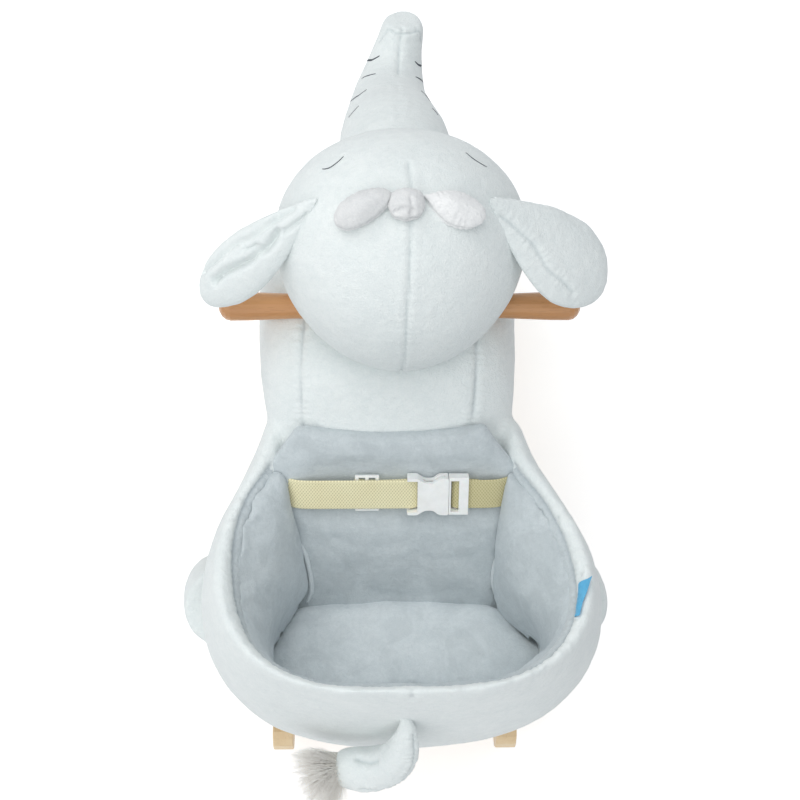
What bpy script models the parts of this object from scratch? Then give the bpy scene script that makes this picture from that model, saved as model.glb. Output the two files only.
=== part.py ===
"""Plush rocking elephant with a bucket seat on a beech rocker frame.

Metres, +Z up, floor at Z = 0, the animal faces +Y.  The two rockers stand
side by side along X.  Every wooden, metal, plastic and stuffed piece is an
object of its own.
"""
from math import copysign, cos, pi, radians, sin, sqrt

import bmesh
import bpy
from mathutils import Matrix, Vector

# Clearances
GAP = 0.0003            # between pieces that touch

# Rockers
ROCKER_SPACING = 0.179      # between the inner faces
ROCKER_THICK = 0.018
ROCKER_RADIUS = 0.85
ROCKER_MIDDLE_Y = -0.006    # where the curve is lowest
ROCKER_REAR_Y = -0.234
ROCKER_FRONT_Y = 0.262
ROCKER_FLAT = 0.070         # length of the flat that the toy rests on
ROCKER_DEPTH_MIDDLE = 0.047
ROCKER_DEPTH_END = 0.036
ROCKER_ROUND = 0.0025

# Lower frame
POST_THICK = 0.018
POST_WIDTH = 0.050
POST_BOTTOM_Z = 0.034
POST_REAR_Y = -0.180
POST_FRONT_Y = 0.110
STRETCHER_HEIGHT = 0.040
STRETCHER_THICK = 0.018
STRETCHER_Z = 0.105
TENON_LENGTH = 0.008
SLAT_Y = 0.218
SLAT_WIDTH = 0.040
SLAT_THICK = 0.014
SLAT_HALF_LENGTH = 0.1185
FOOTREST_Y = -0.052
FOOTREST_WIDTH = 0.032
FOOTREST_THICK = 0.015
FOOTREST_HALF_LENGTH = 0.143
DECK_BOTTOM_Z = 0.150
DECK_THICK = 0.012
DECK_EDGE = 0.0098          # from the line of its screws to its side
DECK_REAR_Y = -0.235
DECK_FRONT_Y = 0.140
WOOD_ROUND = 0.002

# Hardware
BOLT_RADIUS = 0.003
BOLT_HEAD_RADIUS = 0.0065
BOLT_HEAD_THICK = 0.003
BOLT_SPREAD = 0.024         # between the two bolts of one post
BOLT_HOLE_CLEARANCE = 0.0004
SCREW_RADIUS = 0.002
SCREW_HEAD_RADIUS = 0.004
SCREW_LENGTH = 0.026
SCREW_HEAD_DEPTH = 0.0025

# Handlebar
HANDLE_Y = 0.026
HANDLE_Z = 0.388
ROD_RADIUS = 0.006
ROD_HALF_LENGTH = 0.118
GRIP_INNER_X = 0.0500
GRIP_OUTER_X = 0.1350
GRIP_RADIUS = 0.0092
GRIP_BULB_RADIUS = 0.0108
GRIP_BORE_CLEARANCE = 0.0003
GRIP_ROOM = 0.0009          # free space round a grip inside the plush
NECK_POST_WIDTH = 0.040
NECK_POST_DEPTH = 0.040
NECK_POST_ABOVE = 0.024     # over the middle of the handlebar
NECK_TENON = 0.024          # side of the square tenon in the deck

# Seat tub
TUB_BOTTOM_Z = 0.147
PAN_Z = 0.235               # where the tub's wall meets the seat
HULL_WIDEST_Z = 0.290
HULL_LOW_Z = 0.200
LINING_THICK = 0.006
LEG_HOLE_INNER_Y = -0.128
LEG_HOLE_OUTER_Y = -0.090
LEG_HOLE_Z = 0.234
LEG_HOLE_HALF_LENGTH = 0.0480
LEG_HOLE_HALF_HEIGHT = 0.0460
LEG_HOLE_INNER_X = 0.0640
LEG_HOLE_OUTER_X = 0.2100
FRONT_WALL_LOW = (-0.163, 0.250)    # Y, Z of the front wall's foot
FRONT_WALL_TOP = (-0.062, 0.360)    # Y, Z of its upper edge
FRONT_WALL_LENGTH = 0.149
FRONT_WALL_WIDTHS = (       # share of its height, half width
    (-0.02, 0.063), (0.18, 0.069), (0.42, 0.078), (0.70, 0.087), (0.90, 0.081), (1.00, 0.068))
NECK_LEAN = -0.0105
CUSHION_FRONT_Y = -0.1645
CUSHION_REAR_Y = -0.2395
CUSHION_HALF_FRONT = 0.0790
CUSHION_HALF_REAR = 0.1010
CUSHION_THICK = 0.026
CUSHION_CROWN = 0.009
FOAM_TOP_Z = 0.228

# Head
HEAD_CENTRE = (0.0, 0.0516, 0.428)
HEAD_HALF = (0.0915, 0.0885, 0.090)
EAR_LENGTH = 0.126
EAR_THICK = 0.024
EAR_ROOT = (0.0580, 0.0034, 0.0720)     # this and the next from the head's centre
EAR_TIPS = {"left": (0.1400, -0.0296, -0.0110), "right": (0.1450, -0.0316, -0.0110)}
EAR_FACES = {"left": (0.30, -0.55, 0.75), "right": (0.20, -0.30, 0.90)}
EAR_HALF_WIDTHS = {"left": 0.0225, "right": 0.0310}
HAIR = (                    # name, middle, half size, tilt in degrees
    ("hair_left", (-0.0285, -0.0136, 0.0850), (0.0195, 0.0125, 0.0095), -18.0),
    ("hair_middle", (0.0010, -0.0126, 0.0925), (0.0115, 0.0115, 0.0095), 0.0),
    ("hair_right", (0.0325, -0.0116, 0.0850), (0.0205, 0.0120, 0.0095), 17.0))
TRUNK_LINE = (              # X, Y, Z from the head's centre, radius
    (0.0000, 0.0384, -0.0280, 0.0414), (-0.0010, 0.0784, -0.0330, 0.0460),
    (-0.0020, 0.1134, -0.0480, 0.0444), (-0.0040, 0.1484, -0.0710, 0.0390),
    (-0.0050, 0.1834, -0.0860, 0.0315), (-0.0010, 0.2134, -0.0860, 0.0245),
    (0.0040, 0.2344, -0.0730, 0.0190), (0.0070, 0.2424, -0.0610, 0.0165),
    (0.0074, 0.2439, -0.0575, 0.0102))

# Legs
HIND_FOOT = (0.1490, -0.1130)
HIND_FOOT_RADIUS = 0.0370
HIND_FOOT_BOTTOM_Z = 0.034
HIND_LEG_LINE = (           # X, Y from the foot's middle, Z, share of its radius
    (-0.0080, -0.0400, 0.1900, 0.90), (-0.0050, -0.0260, 0.1580, 0.95),
    (-0.0010, -0.0060, 0.1120, 0.96), (0.0000, 0.0000, 0.0750, 1.00))
FRONT_FOOT = (0.0950, 0.222)
FRONT_FOOT_RADIUS = 0.0345
FRONT_LEG_LINE = (
    (-0.0300, -0.0850, 0.2050, 0.95), (-0.0120, -0.0540, 0.1860, 1.00),
    (-0.0010, -0.0140, 0.1420, 0.96))
SOLE_ROUND = 0.0090         # height of a foot's rounded edge

# Tail
TAIL_ROOT = (-0.003, -0.2690, 0.340)
TAIL_RADIUS = 0.0148
TUFT_LENGTH = 0.034
TUFT_RADIUS = 0.0215

# Belt
WEBBING_WIDTH = 0.025
WEBBING_THICK = 0.0018
BELT_OFF_WALL = 0.0085      # from the front wall to the middle of the webbing
BELT_WALL_SHARE = 0.665     # height along the front wall, 0 foot, 1 top
BELT_LEFT_X = -0.0950
BELT_RIGHT_X = 0.0940
POCKET_CLEARANCE = 0.0010
SOCKET_LEFT_X = 0.0050
SOCKET_RIGHT_X = 0.0360
PLUG_RIGHT_X = 0.0510
PLUG_TRAVEL = 0.0165
BUCKLE_HALF_HEIGHT = 0.0155
BUCKLE_HALF_THICK = 0.0048
CAVITY_HALF_HEIGHT = 0.0118
CAVITY_HALF_THICK = 0.0019
PRONG_HALF_THICK = 0.0015
GLIDE_X = -0.0250
GLIDE_HALF_LENGTH = 0.0090
GLIDE_HALF_HEIGHT = 0.0150
GLIDE_THICK = 0.0020
GLIDE_BAR = 0.0028
TAG_SIZE = (0.0008, 0.028, 0.020)
TAG_PLACE = (0.1215, -0.194, 0.357)     # middle of its lower edge

# Materials
PLUSH = ("plush_white", (0.80, 0.85, 0.84), 0.95, 0.0)
VELVET = ("velvet_grey", (0.50, 0.56, 0.58), 0.90, 0.0)
BEECH = ("beech_pale", (0.80, 0.62, 0.38), 0.50, 0.0)
BEECH_DARK = ("beech_handle", (0.58, 0.31, 0.14), 0.45, 0.0)
PLYWOOD = ("plywood", (0.72, 0.56, 0.36), 0.60, 0.0)
STEEL = ("zinc_steel", (0.62, 0.62, 0.63), 0.35, 1.0)
WEBBING = ("webbing_khaki", (0.62, 0.60, 0.38), 0.85, 0.0)
WHITE_PLASTIC = ("white_plastic", (0.86, 0.87, 0.85), 0.35, 0.0)
FOAM = ("foam", (0.82, 0.80, 0.70), 0.95, 0.0)
FUR = ("tuft_fur", (0.56, 0.54, 0.46), 0.95, 0.0)
BLUE = ("blue_tape", (0.10, 0.42, 0.66), 0.70, 0.0)

for old in list(bpy.data.objects):
    bpy.data.objects.remove(old, do_unlink=True)

PARTS = bpy.data.collections.new("rocking_elephant")
CUTTERS = bpy.data.collections.new("cutters")
bpy.context.scene.collection.children.link(PARTS)
bpy.context.scene.collection.children.link(CUTTERS)


# Helpers
def material(spec):
    """Return the named material, made once from its colour and finish."""
    name, colour, roughness, metallic = spec
    found = bpy.data.materials.get(name)
    if found:
        return found
    made = bpy.data.materials.new(name)
    made.use_nodes = True
    shader = made.node_tree.nodes["Principled BSDF"]
    shader.inputs["Base Color"].default_value = (*colour, 1.0)
    shader.inputs["Roughness"].default_value = roughness
    shader.inputs["Metallic"].default_value = metallic
    made.diffuse_color = (*colour, 1.0)
    return made


def register(obj, spec):
    """Put a finished piece in the parts collection with its material."""
    for holder in list(obj.users_collection):
        holder.objects.unlink(obj)
    PARTS.objects.link(obj)
    obj.data.materials.clear()
    obj.data.materials.append(material(spec))
    return obj


def hide_as_cutter(obj):
    """Put an object among the cutters, out of the picture."""
    for holder in list(obj.users_collection):
        holder.objects.unlink(obj)
    CUTTERS.objects.link(obj)
    obj.hide_render = True
    obj.display_type = "WIRE"
    return obj


def mesh_object(name, build):
    """Make an object from a function that fills a bmesh."""
    form = bmesh.new()
    build(form)
    bmesh.ops.recalc_face_normals(form, faces=form.faces)
    mesh = bpy.data.meshes.new(name)
    form.to_mesh(mesh)
    form.free()
    obj = bpy.data.objects.new(name, mesh)
    bpy.context.scene.collection.objects.link(obj)
    return obj


def smooth(obj, angle=40):
    obj.data.shade_smooth()
    obj.data.set_sharp_from_angle(angle=radians(angle))


def box_object(name, low, high, rounding=0.0):
    """A box between two corners, with its edges rounded if asked."""
    size = [high[i] - low[i] for i in range(3)]
    centre = Vector([(high[i] + low[i]) / 2 for i in range(3)])

    def build(form):
        made = bmesh.ops.create_cube(form, size=1.0)
        bmesh.ops.scale(form, vec=size, verts=made["verts"])
        bmesh.ops.translate(form, vec=centre, verts=made["verts"])

    obj = mesh_object(name, build)
    obj.data.transform(Matrix.Translation(-centre))
    obj.location = centre
    if rounding:
        bevel = obj.modifiers.new("rounded_edges", "BEVEL")
        bevel.width = rounding
        bevel.segments = 2
        bevel.limit_method = "ANGLE"
    return obj


def cylinder_object(name, start, end, radius, sides=20):
    """A cylinder between two points."""
    start, end = Vector(start), Vector(end)
    length = (end - start).length

    def build(form):
        bmesh.ops.create_cone(form, cap_ends=True, segments=sides,
                              radius1=radius, radius2=radius, depth=length)

    obj = mesh_object(name, build)
    obj.location = (start + end) / 2
    obj.rotation_euler = (end - start).to_track_quat("Z", "Y").to_euler()
    return obj


def ring_loft(name, rings):
    """A closed body through rings of equal count, fanned shut at both ends."""
    def build(form):
        rows = [[form.verts.new(point) for point in ring] for ring in rings]
        count = len(rows[0])
        for lower, upper in zip(rows, rows[1:]):
            for i in range(count):
                j = (i + 1) % count
                form.faces.new((lower[i], lower[j], upper[j], upper[i]))
        for row, flip in ((rows[0], True), (rows[-1], False)):
            middle = form.verts.new(sum((v.co for v in row), Vector()) / count)
            for i in range(count):
                j = (i + 1) % count
                order = (row[j], row[i], middle) if flip else (row[i], row[j], middle)
                form.faces.new(order)
    return mesh_object(name, build)


def facet(obj):
    """Split a soft form's faces into flat triangles."""
    form = bmesh.new()
    form.from_mesh(obj.data)
    bmesh.ops.triangulate(form, faces=form.faces, quad_method="FIXED")
    form.to_mesh(obj.data)
    form.free()
    obj.data.shade_smooth()
    return obj


def soften(obj, levels=1):
    """Round a coarse cage with a subdivision surface."""
    surface = obj.modifiers.new("stuffed_form", "SUBSURF")
    surface.levels = levels
    surface.render_levels = levels
    flats = obj.modifiers.new("flat_facets", "TRIANGULATE")
    flats.quad_method = "FIXED"
    obj.data.shade_smooth()
    return obj


def plain_copy(obj, name, grow=0.0):
    """The evaluated shape of an object as a mesh of its own, grown if asked."""
    bpy.context.view_layer.update()
    graph = bpy.context.evaluated_depsgraph_get()
    mesh = bpy.data.meshes.new_from_object(obj.evaluated_get(graph))
    form = bmesh.new()
    form.from_mesh(mesh)
    bmesh.ops.remove_doubles(form, verts=form.verts, dist=1e-6)
    form.transform(obj.matrix_world)
    bmesh.ops.recalc_face_normals(form, faces=form.faces)
    form.normal_update()
    if grow:
        moves = [vertex.normal * grow * vertex.calc_shell_factor()
                 for vertex in form.verts]
        for vertex, move in zip(form.verts, moves):
            vertex.co += move
    form.to_mesh(mesh)
    form.free()
    copy = bpy.data.objects.new(name, mesh)
    bpy.context.scene.collection.objects.link(copy)
    return copy


def curve_to_mesh(obj):
    """Swap a curve for its mesh with the caps welded on."""
    bpy.context.view_layer.update()
    graph = bpy.context.evaluated_depsgraph_get()
    mesh = bpy.data.meshes.new_from_object(obj.evaluated_get(graph))
    form = bmesh.new()
    form.from_mesh(mesh)
    bmesh.ops.remove_doubles(form, verts=form.verts, dist=1e-6)
    bmesh.ops.recalc_face_normals(form, faces=form.faces)
    form.to_mesh(mesh)
    form.free()
    name, placement = obj.name, obj.matrix_world.copy()
    bpy.data.objects.remove(obj, do_unlink=True)
    made = bpy.data.objects.new(name, mesh)
    bpy.context.scene.collection.objects.link(made)
    made.matrix_world = placement
    return made


def cut(obj, cutter, mode="DIFFERENCE"):
    """Cut one object with another that is kept among the cutters."""
    tool = obj.modifiers.new(cutter.name, "BOOLEAN")
    tool.operation = mode
    tool.object = cutter
    tool.solver = "EXACT"
    if cutter.name not in CUTTERS.objects:
        hide_as_cutter(cutter)
    return obj


def keep_space(obj, clearance=GAP):
    """Keep an object's shape as it now is, grown by the touching gap."""
    hide_as_cutter(plain_copy(obj, obj.name + "_space", clearance))
    return obj


def cut_clear(obj, neighbour):
    """Cut a piece where its neighbour stands."""
    if neighbour.name + "_space" not in CUTTERS.objects:
        keep_space(neighbour)
    return cut(obj, CUTTERS.objects[neighbour.name + "_space"])


def flat_outline(name, points, half_thick, placement):
    """A flat outline given thickness, from local XY to the given place."""
    curve = bpy.data.curves.new(name, "CURVE")
    curve.dimensions = "2D"
    curve.fill_mode = "BOTH"
    curve.extrude = half_thick
    spline = curve.splines.new("POLY")
    spline.points.add(len(points) - 1)
    for slot, (x, y) in zip(spline.points, points):
        slot.co = (x, y, 0.0, 1.0)
    spline.use_cyclic_u = True
    obj = bpy.data.objects.new(name, curve)
    bpy.context.scene.collection.objects.link(obj)
    obj.matrix_world = placement
    return curve_to_mesh(obj)


def smooth_path(points, steps):
    """Points of a Catmull-Rom curve through the given points."""
    known = [Vector(p) for p in points]
    known = [2 * known[0] - known[1]] + known + [2 * known[-1] - known[-2]]
    found = []
    for a, b, c, d in zip(known, known[1:], known[2:], known[3:]):
        for k in range(steps):
            t = k / steps
            found.append(0.5 * (2 * b + (c - a) * t + (2 * a - 5 * b + 4 * c - d) * t * t
                                + (3 * b - a - 3 * c + d) * t ** 3))
    found.append(known[-2])
    return found


def stuffed_tube(name, points, radii, steps=3, resolution=2):
    """A stuffed limb along a curve, swelling and tapering with its radii."""
    line = [(*p, r) for p, r in zip(points, radii)]
    path = smooth_path([Vector(p) for p in line], steps)
    curve = bpy.data.curves.new(name, "CURVE")
    curve.dimensions = "3D"
    curve.bevel_depth = 1.0
    curve.bevel_resolution = resolution
    curve.use_fill_caps = True
    spline = curve.splines.new("POLY")
    spline.points.add(len(path) - 1)
    for slot, step in zip(spline.points, path):
        slot.co = (step[0], step[1], step[2], 1.0)
        slot.radius = step[3]
    obj = bpy.data.objects.new(name, curve)
    bpy.context.scene.collection.objects.link(obj)
    return facet(curve_to_mesh(obj))


def stuffed_ball(name, shape, segments=20, rings=12):
    """A sphere whose unit points are moved by a shape function."""
    def build(form):
        bmesh.ops.create_uvsphere(form, u_segments=segments, v_segments=rings,
                                  radius=1.0)
        for vertex in form.verts:
            vertex.co = shape(vertex.co)

    return facet(mesh_object(name, build))


def turned(name, profile, steps=20):
    """A turned piece about local Z, from its outer profile top to bottom."""
    mesh = bpy.data.meshes.new(name)
    form = bmesh.new()
    chain = [form.verts.new((radius, 0.0, height)) for radius, height in profile]
    for first, second in zip(chain, chain[1:]):
        form.edges.new((first, second))
    form.to_mesh(mesh)
    form.free()
    obj = bpy.data.objects.new(name, mesh)
    bpy.context.scene.collection.objects.link(obj)
    screw = obj.modifiers.new("turning", "SCREW")
    screw.steps = steps
    screw.render_steps = steps
    screw.use_merge_vertices = True
    screw.merge_threshold = 0.00001
    return obj


def mirrored(point, side):
    return (side * point[0], point[1], point[2])


def set_pivot(obj, point):
    """Move the origin of an unturned object to the axis that it turns about."""
    shift = Vector(point) - obj.location
    obj.data.transform(Matrix.Translation(-shift))
    obj.location = Vector(point)
    return obj


# Wooden frame
ROCKER_INNER_X = ROCKER_SPACING / 2
ROCKER_OUTER_X = ROCKER_INNER_X + ROCKER_THICK
DECK_TOP_Z = DECK_BOTTOM_Z + DECK_THICK
SIDES = (("left", -1.0), ("right", 1.0))


def rocker_bottom(y):
    """Height of the rocker's running edge."""
    off = max(abs(y - ROCKER_MIDDLE_Y), ROCKER_FLAT / 2)
    flat_drop = sqrt(ROCKER_RADIUS ** 2 - (ROCKER_FLAT / 2) ** 2)
    return flat_drop - sqrt(ROCKER_RADIUS ** 2 - off ** 2)


def rocker_top(y):
    """Height of the rocker's upper edge."""
    end = ROCKER_FRONT_Y if y > ROCKER_MIDDLE_Y else ROCKER_REAR_Y
    share = min(1.0, (y - ROCKER_MIDDLE_Y) / (end - ROCKER_MIDDLE_Y))
    depth = ROCKER_DEPTH_MIDDLE + (ROCKER_DEPTH_END - ROCKER_DEPTH_MIDDLE) * share ** 2
    return rocker_bottom(y) + depth


def rocker_outline():
    """Side view of a rocker, with a rounded nose at each end."""
    steps = 10
    rear_flat, front_flat = ROCKER_MIDDLE_Y - ROCKER_FLAT / 2, ROCKER_MIDDLE_Y + ROCKER_FLAT / 2
    line = [ROCKER_REAR_Y + (rear_flat - ROCKER_REAR_Y) * k / steps for k in range(steps + 1)]
    line += [front_flat + (ROCKER_FRONT_Y - front_flat) * k / steps for k in range(steps + 1)]
    bottom = [(y, rocker_bottom(y)) for y in line]
    top = [(y, rocker_top(y)) for y in reversed(line)]
    radius = ROCKER_DEPTH_END / 2
    nose = []
    tail = []
    for k in range(1, 6):
        reach = radius * 0.7 * sin(pi * k / 6)
        rise = radius * (1 - cos(pi * k / 6))
        nose.append((ROCKER_FRONT_Y + reach, rocker_bottom(ROCKER_FRONT_Y) + rise))
        tail.append((ROCKER_REAR_Y - reach, rocker_top(ROCKER_REAR_Y) - rise))
    return bottom + nose + top + tail


FROM_SIDE = Matrix(((0, 0, 1, 0), (1, 0, 0, 0), (0, 1, 0, 0), (0, 0, 0, 1)))


def side_placement(x):
    """Place a local XY outline in the YZ plane at the given X."""
    return Matrix.Translation((x, 0.0, 0.0)) @ FROM_SIDE


rockers = {}
posts = {}
for side, sign in SIDES:
    middle_x = sign * (ROCKER_INNER_X + ROCKER_THICK / 2)
    rocker = flat_outline("rocker_" + side, rocker_outline(), ROCKER_THICK / 2,
                          side_placement(middle_x))
    rounding = rocker.modifiers.new("rounded_edges", "BEVEL")
    rounding.width = ROCKER_ROUND
    rounding.segments = 1
    rounding.limit_method = "ANGLE"
    rounding.angle_limit = radians(60)
    rockers[side] = register(rocker, BEECH)
    outer = ROCKER_INNER_X - GAP
    inner = outer - POST_THICK
    low_x, high_x = sorted((sign * inner, sign * outer))
    for end, y in (("rear", POST_REAR_Y), ("front", POST_FRONT_Y)):
        post = box_object(f"post_{end}_{side}",
                          (low_x, y - POST_WIDTH / 2, POST_BOTTOM_Z),
                          (high_x, y + POST_WIDTH / 2, DECK_BOTTOM_Z - GAP), WOOD_ROUND)
        posts[end, side] = keep_space(register(post, BEECH))

POST_INNER_X = ROCKER_INNER_X - GAP - POST_THICK
for end, y in (("rear", POST_REAR_Y), ("front", POST_FRONT_Y)):
    reach = POST_INNER_X + TENON_LENGTH
    stretcher = box_object("stretcher_" + end,
                           (-reach, y - STRETCHER_THICK / 2, STRETCHER_Z - STRETCHER_HEIGHT / 2),
                           (reach, y + STRETCHER_THICK / 2, STRETCHER_Z + STRETCHER_HEIGHT / 2))
    register(stretcher, BEECH)
    for side, sign in SIDES:
        cut_clear(posts[end, side], stretcher)


def resting_height(y, width):
    """Lowest height at which a board clears the rockers' upper edges."""
    return max(rocker_top(y - width / 2), rocker_top(y + width / 2), rocker_top(y)) + GAP


SLAT_BOTTOM_Z = resting_height(SLAT_Y, SLAT_WIDTH)
front_slat = register(box_object(
    "front_slat",
    (-SLAT_HALF_LENGTH, SLAT_Y - SLAT_WIDTH / 2, SLAT_BOTTOM_Z),
    (SLAT_HALF_LENGTH, SLAT_Y + SLAT_WIDTH / 2, SLAT_BOTTOM_Z + SLAT_THICK),
    WOOD_ROUND), BEECH)
FOOTREST_BOTTOM_Z = resting_height(FOOTREST_Y, FOOTREST_WIDTH)
footrest = register(box_object(
    "footrest",
    (-FOOTREST_HALF_LENGTH, FOOTREST_Y - FOOTREST_WIDTH / 2, FOOTREST_BOTTOM_Z),
    (FOOTREST_HALF_LENGTH, FOOTREST_Y + FOOTREST_WIDTH / 2,
     FOOTREST_BOTTOM_Z + FOOTREST_THICK), 0.004), BEECH)
DECK_SCREW_X = POST_INNER_X + POST_THICK / 2
DECK_HALF_WIDTH = DECK_SCREW_X + DECK_EDGE
deck = register(box_object(
    "deck", (-DECK_HALF_WIDTH, DECK_REAR_Y, DECK_BOTTOM_Z),
    (DECK_HALF_WIDTH, DECK_FRONT_Y, DECK_TOP_Z)), PLYWOOD)
keep_space(deck)

# Hardware
BOLT_LENGTH = ROCKER_THICK + POST_THICK + GAP


def bolt_at(name, sign, y, z):
    """A cap bolt through a rocker into its post, head on the outside."""
    face = ROCKER_OUTER_X + GAP
    socket = BOLT_HEAD_RADIUS * 0.45
    profile = [(0.0, BOLT_HEAD_THICK * 0.5), (socket, BOLT_HEAD_THICK * 0.5),
               (socket, BOLT_HEAD_THICK), (BOLT_HEAD_RADIUS * 0.8, BOLT_HEAD_THICK),
               (BOLT_HEAD_RADIUS, BOLT_HEAD_THICK * 0.6), (BOLT_HEAD_RADIUS, 0.0),
               (BOLT_RADIUS, 0.0), (BOLT_RADIUS, -BOLT_LENGTH + 0.001), (0.0, -BOLT_LENGTH)]
    bolt = turned(name, profile, 12)
    bolt.location = (sign * face, y, z)
    bolt.rotation_euler = (0.0, sign * pi / 2, 0.0)
    bolt.data.shade_smooth()
    return register(bolt, STEEL)


for side, sign in SIDES:
    for end, y in (("rear", POST_REAR_Y), ("front", POST_FRONT_Y)):
        z = (rocker_bottom(y) + rocker_top(y)) / 2
        for number, shift in ((1, -BOLT_SPREAD / 2), (2, BOLT_SPREAD / 2)):
            bolt_at(f"bolt_{end}_{side}_{number}", sign, y + shift, z)
            hole = cylinder_object(f"bolt_hole_{end}_{side}_{number}",
                                   (sign * (POST_INNER_X - 0.01), y + shift, z),
                                   (sign * (ROCKER_OUTER_X + 0.01), y + shift, z),
                                   BOLT_RADIUS + BOLT_HOLE_CLEARANCE, 12)
            cut(rockers[side], hole)
            cut(posts[end, side], hole)


def screw_at(name, x, y, head_z, boards):
    """A countersunk wood screw from above through the given boards."""
    profile = [(0.0, -0.0008), (SCREW_HEAD_RADIUS * 0.4, 0.0), (SCREW_HEAD_RADIUS, 0.0),
               (SCREW_RADIUS, -SCREW_HEAD_DEPTH),
               (SCREW_RADIUS, -SCREW_LENGTH + 0.004), (0.0, -SCREW_LENGTH)]
    screw = turned(name, profile, 10)
    screw.location = (x, y, head_z)
    screw.data.shade_smooth()
    register(screw, STEEL)
    head, shank = SCREW_HEAD_RADIUS + GAP, SCREW_RADIUS + GAP
    hole = turned(name + "_hole", [(0.0, 0.001), (head, 0.001), (head, -GAP),
                                   (shank, -SCREW_HEAD_DEPTH - GAP),
                                   (shank, -SCREW_LENGTH - GAP), (0.0, -SCREW_LENGTH - GAP)], 10)
    hole.location = screw.location
    for board in boards:
        cut(board, hole)


for side, sign in SIDES:
    over_rocker = sign * (ROCKER_INNER_X + ROCKER_THICK / 2)
    screw_at("screw_slat_" + side, over_rocker, SLAT_Y - SLAT_WIDTH * 0.30,
             SLAT_BOTTOM_Z + SLAT_THICK, (front_slat, rockers[side]))
    screw_at("screw_footrest_" + side, over_rocker, FOOTREST_Y,
             FOOTREST_BOTTOM_Z + FOOTREST_THICK, (footrest, rockers[side]))
    for end, y in (("rear", POST_REAR_Y), ("front", POST_FRONT_Y)):
        screw_at(f"screw_deck_{end}_{side}", sign * DECK_SCREW_X, y + POST_WIDTH * 0.25,
                 DECK_TOP_Z, (deck, posts[end, side]))

# Handlebar and its post
neck_post = box_object(
    "neck_post",
    (-NECK_POST_WIDTH / 2, HANDLE_Y - NECK_POST_DEPTH / 2, DECK_TOP_Z + GAP),
    (NECK_POST_WIDTH / 2, HANDLE_Y + NECK_POST_DEPTH / 2, HANDLE_Z + NECK_POST_ABOVE),
    WOOD_ROUND)
keep_space(register(neck_post, BEECH))
tenon = box_object("neck_post_tenon",
                   (-NECK_TENON / 2, HANDLE_Y - NECK_TENON / 2, DECK_BOTTOM_Z + GAP),
                   (NECK_TENON / 2, HANDLE_Y + NECK_TENON / 2, DECK_TOP_Z + 0.01))
cut(neck_post, tenon, "UNION")
mortise = box_object("deck_mortise",
                     (-NECK_TENON / 2 - GAP, HANDLE_Y - NECK_TENON / 2 - GAP, DECK_BOTTOM_Z - 0.01),
                     (NECK_TENON / 2 + GAP, HANDLE_Y + NECK_TENON / 2 + GAP, DECK_TOP_Z + 0.01))
cut(deck, mortise)

handle_rod = cylinder_object("handle_rod", (-ROD_HALF_LENGTH, HANDLE_Y, HANDLE_Z),
                             (ROD_HALF_LENGTH, HANDLE_Y, HANDLE_Z), ROD_RADIUS, 16)
register(handle_rod, STEEL)
smooth(handle_rod)
cut_clear(neck_post, handle_rod)


def grip_outside(grown=0.0):
    """Outer profile of a grip from its rounded end to its inner end."""
    length = GRIP_OUTER_X - GRIP_INNER_X
    bulb = GRIP_BULB_RADIUS + grown
    barrel = GRIP_RADIUS + grown
    outer = [(0.0, length + grown)]
    for k in range(1, 5):
        turn = pi / 2 * k / 4
        outer.append((bulb * sin(turn), length + grown - 0.009 * (1 - cos(turn))))
    return outer + [(bulb * 0.99, length - 0.022), ((bulb + barrel) / 2, length - 0.040),
                    (barrel, length - 0.058), (barrel * 1.04, 0.002), (barrel * 0.94, -grown)]


def grip_profile():
    """The outer profile and the blind bore that takes the rod."""
    bore = ROD_RADIUS + GRIP_BORE_CLEARANCE
    bore_depth = ROD_HALF_LENGTH + GRIP_BORE_CLEARANCE - GRIP_INNER_X
    return grip_outside() + [(bore, 0.0), (bore, bore_depth), (0.0, bore_depth)]


grip_rooms = []
for side, sign in SIDES:
    grip = turned("grip_" + side, grip_profile(), 20)
    room = turned("grip_room_" + side, grip_outside(GRIP_ROOM) + [(0.0, -GRIP_ROOM)], 12)
    for obj in (grip, room):
        obj.location = (sign * GRIP_INNER_X, HANDLE_Y, HANDLE_Z)
        obj.rotation_euler = (0.0, sign * pi / 2, 0.0)
    grip.data.shade_smooth()
    register(grip, BEECH_DARK)
    grip_rooms.append(hide_as_cutter(room))

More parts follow.
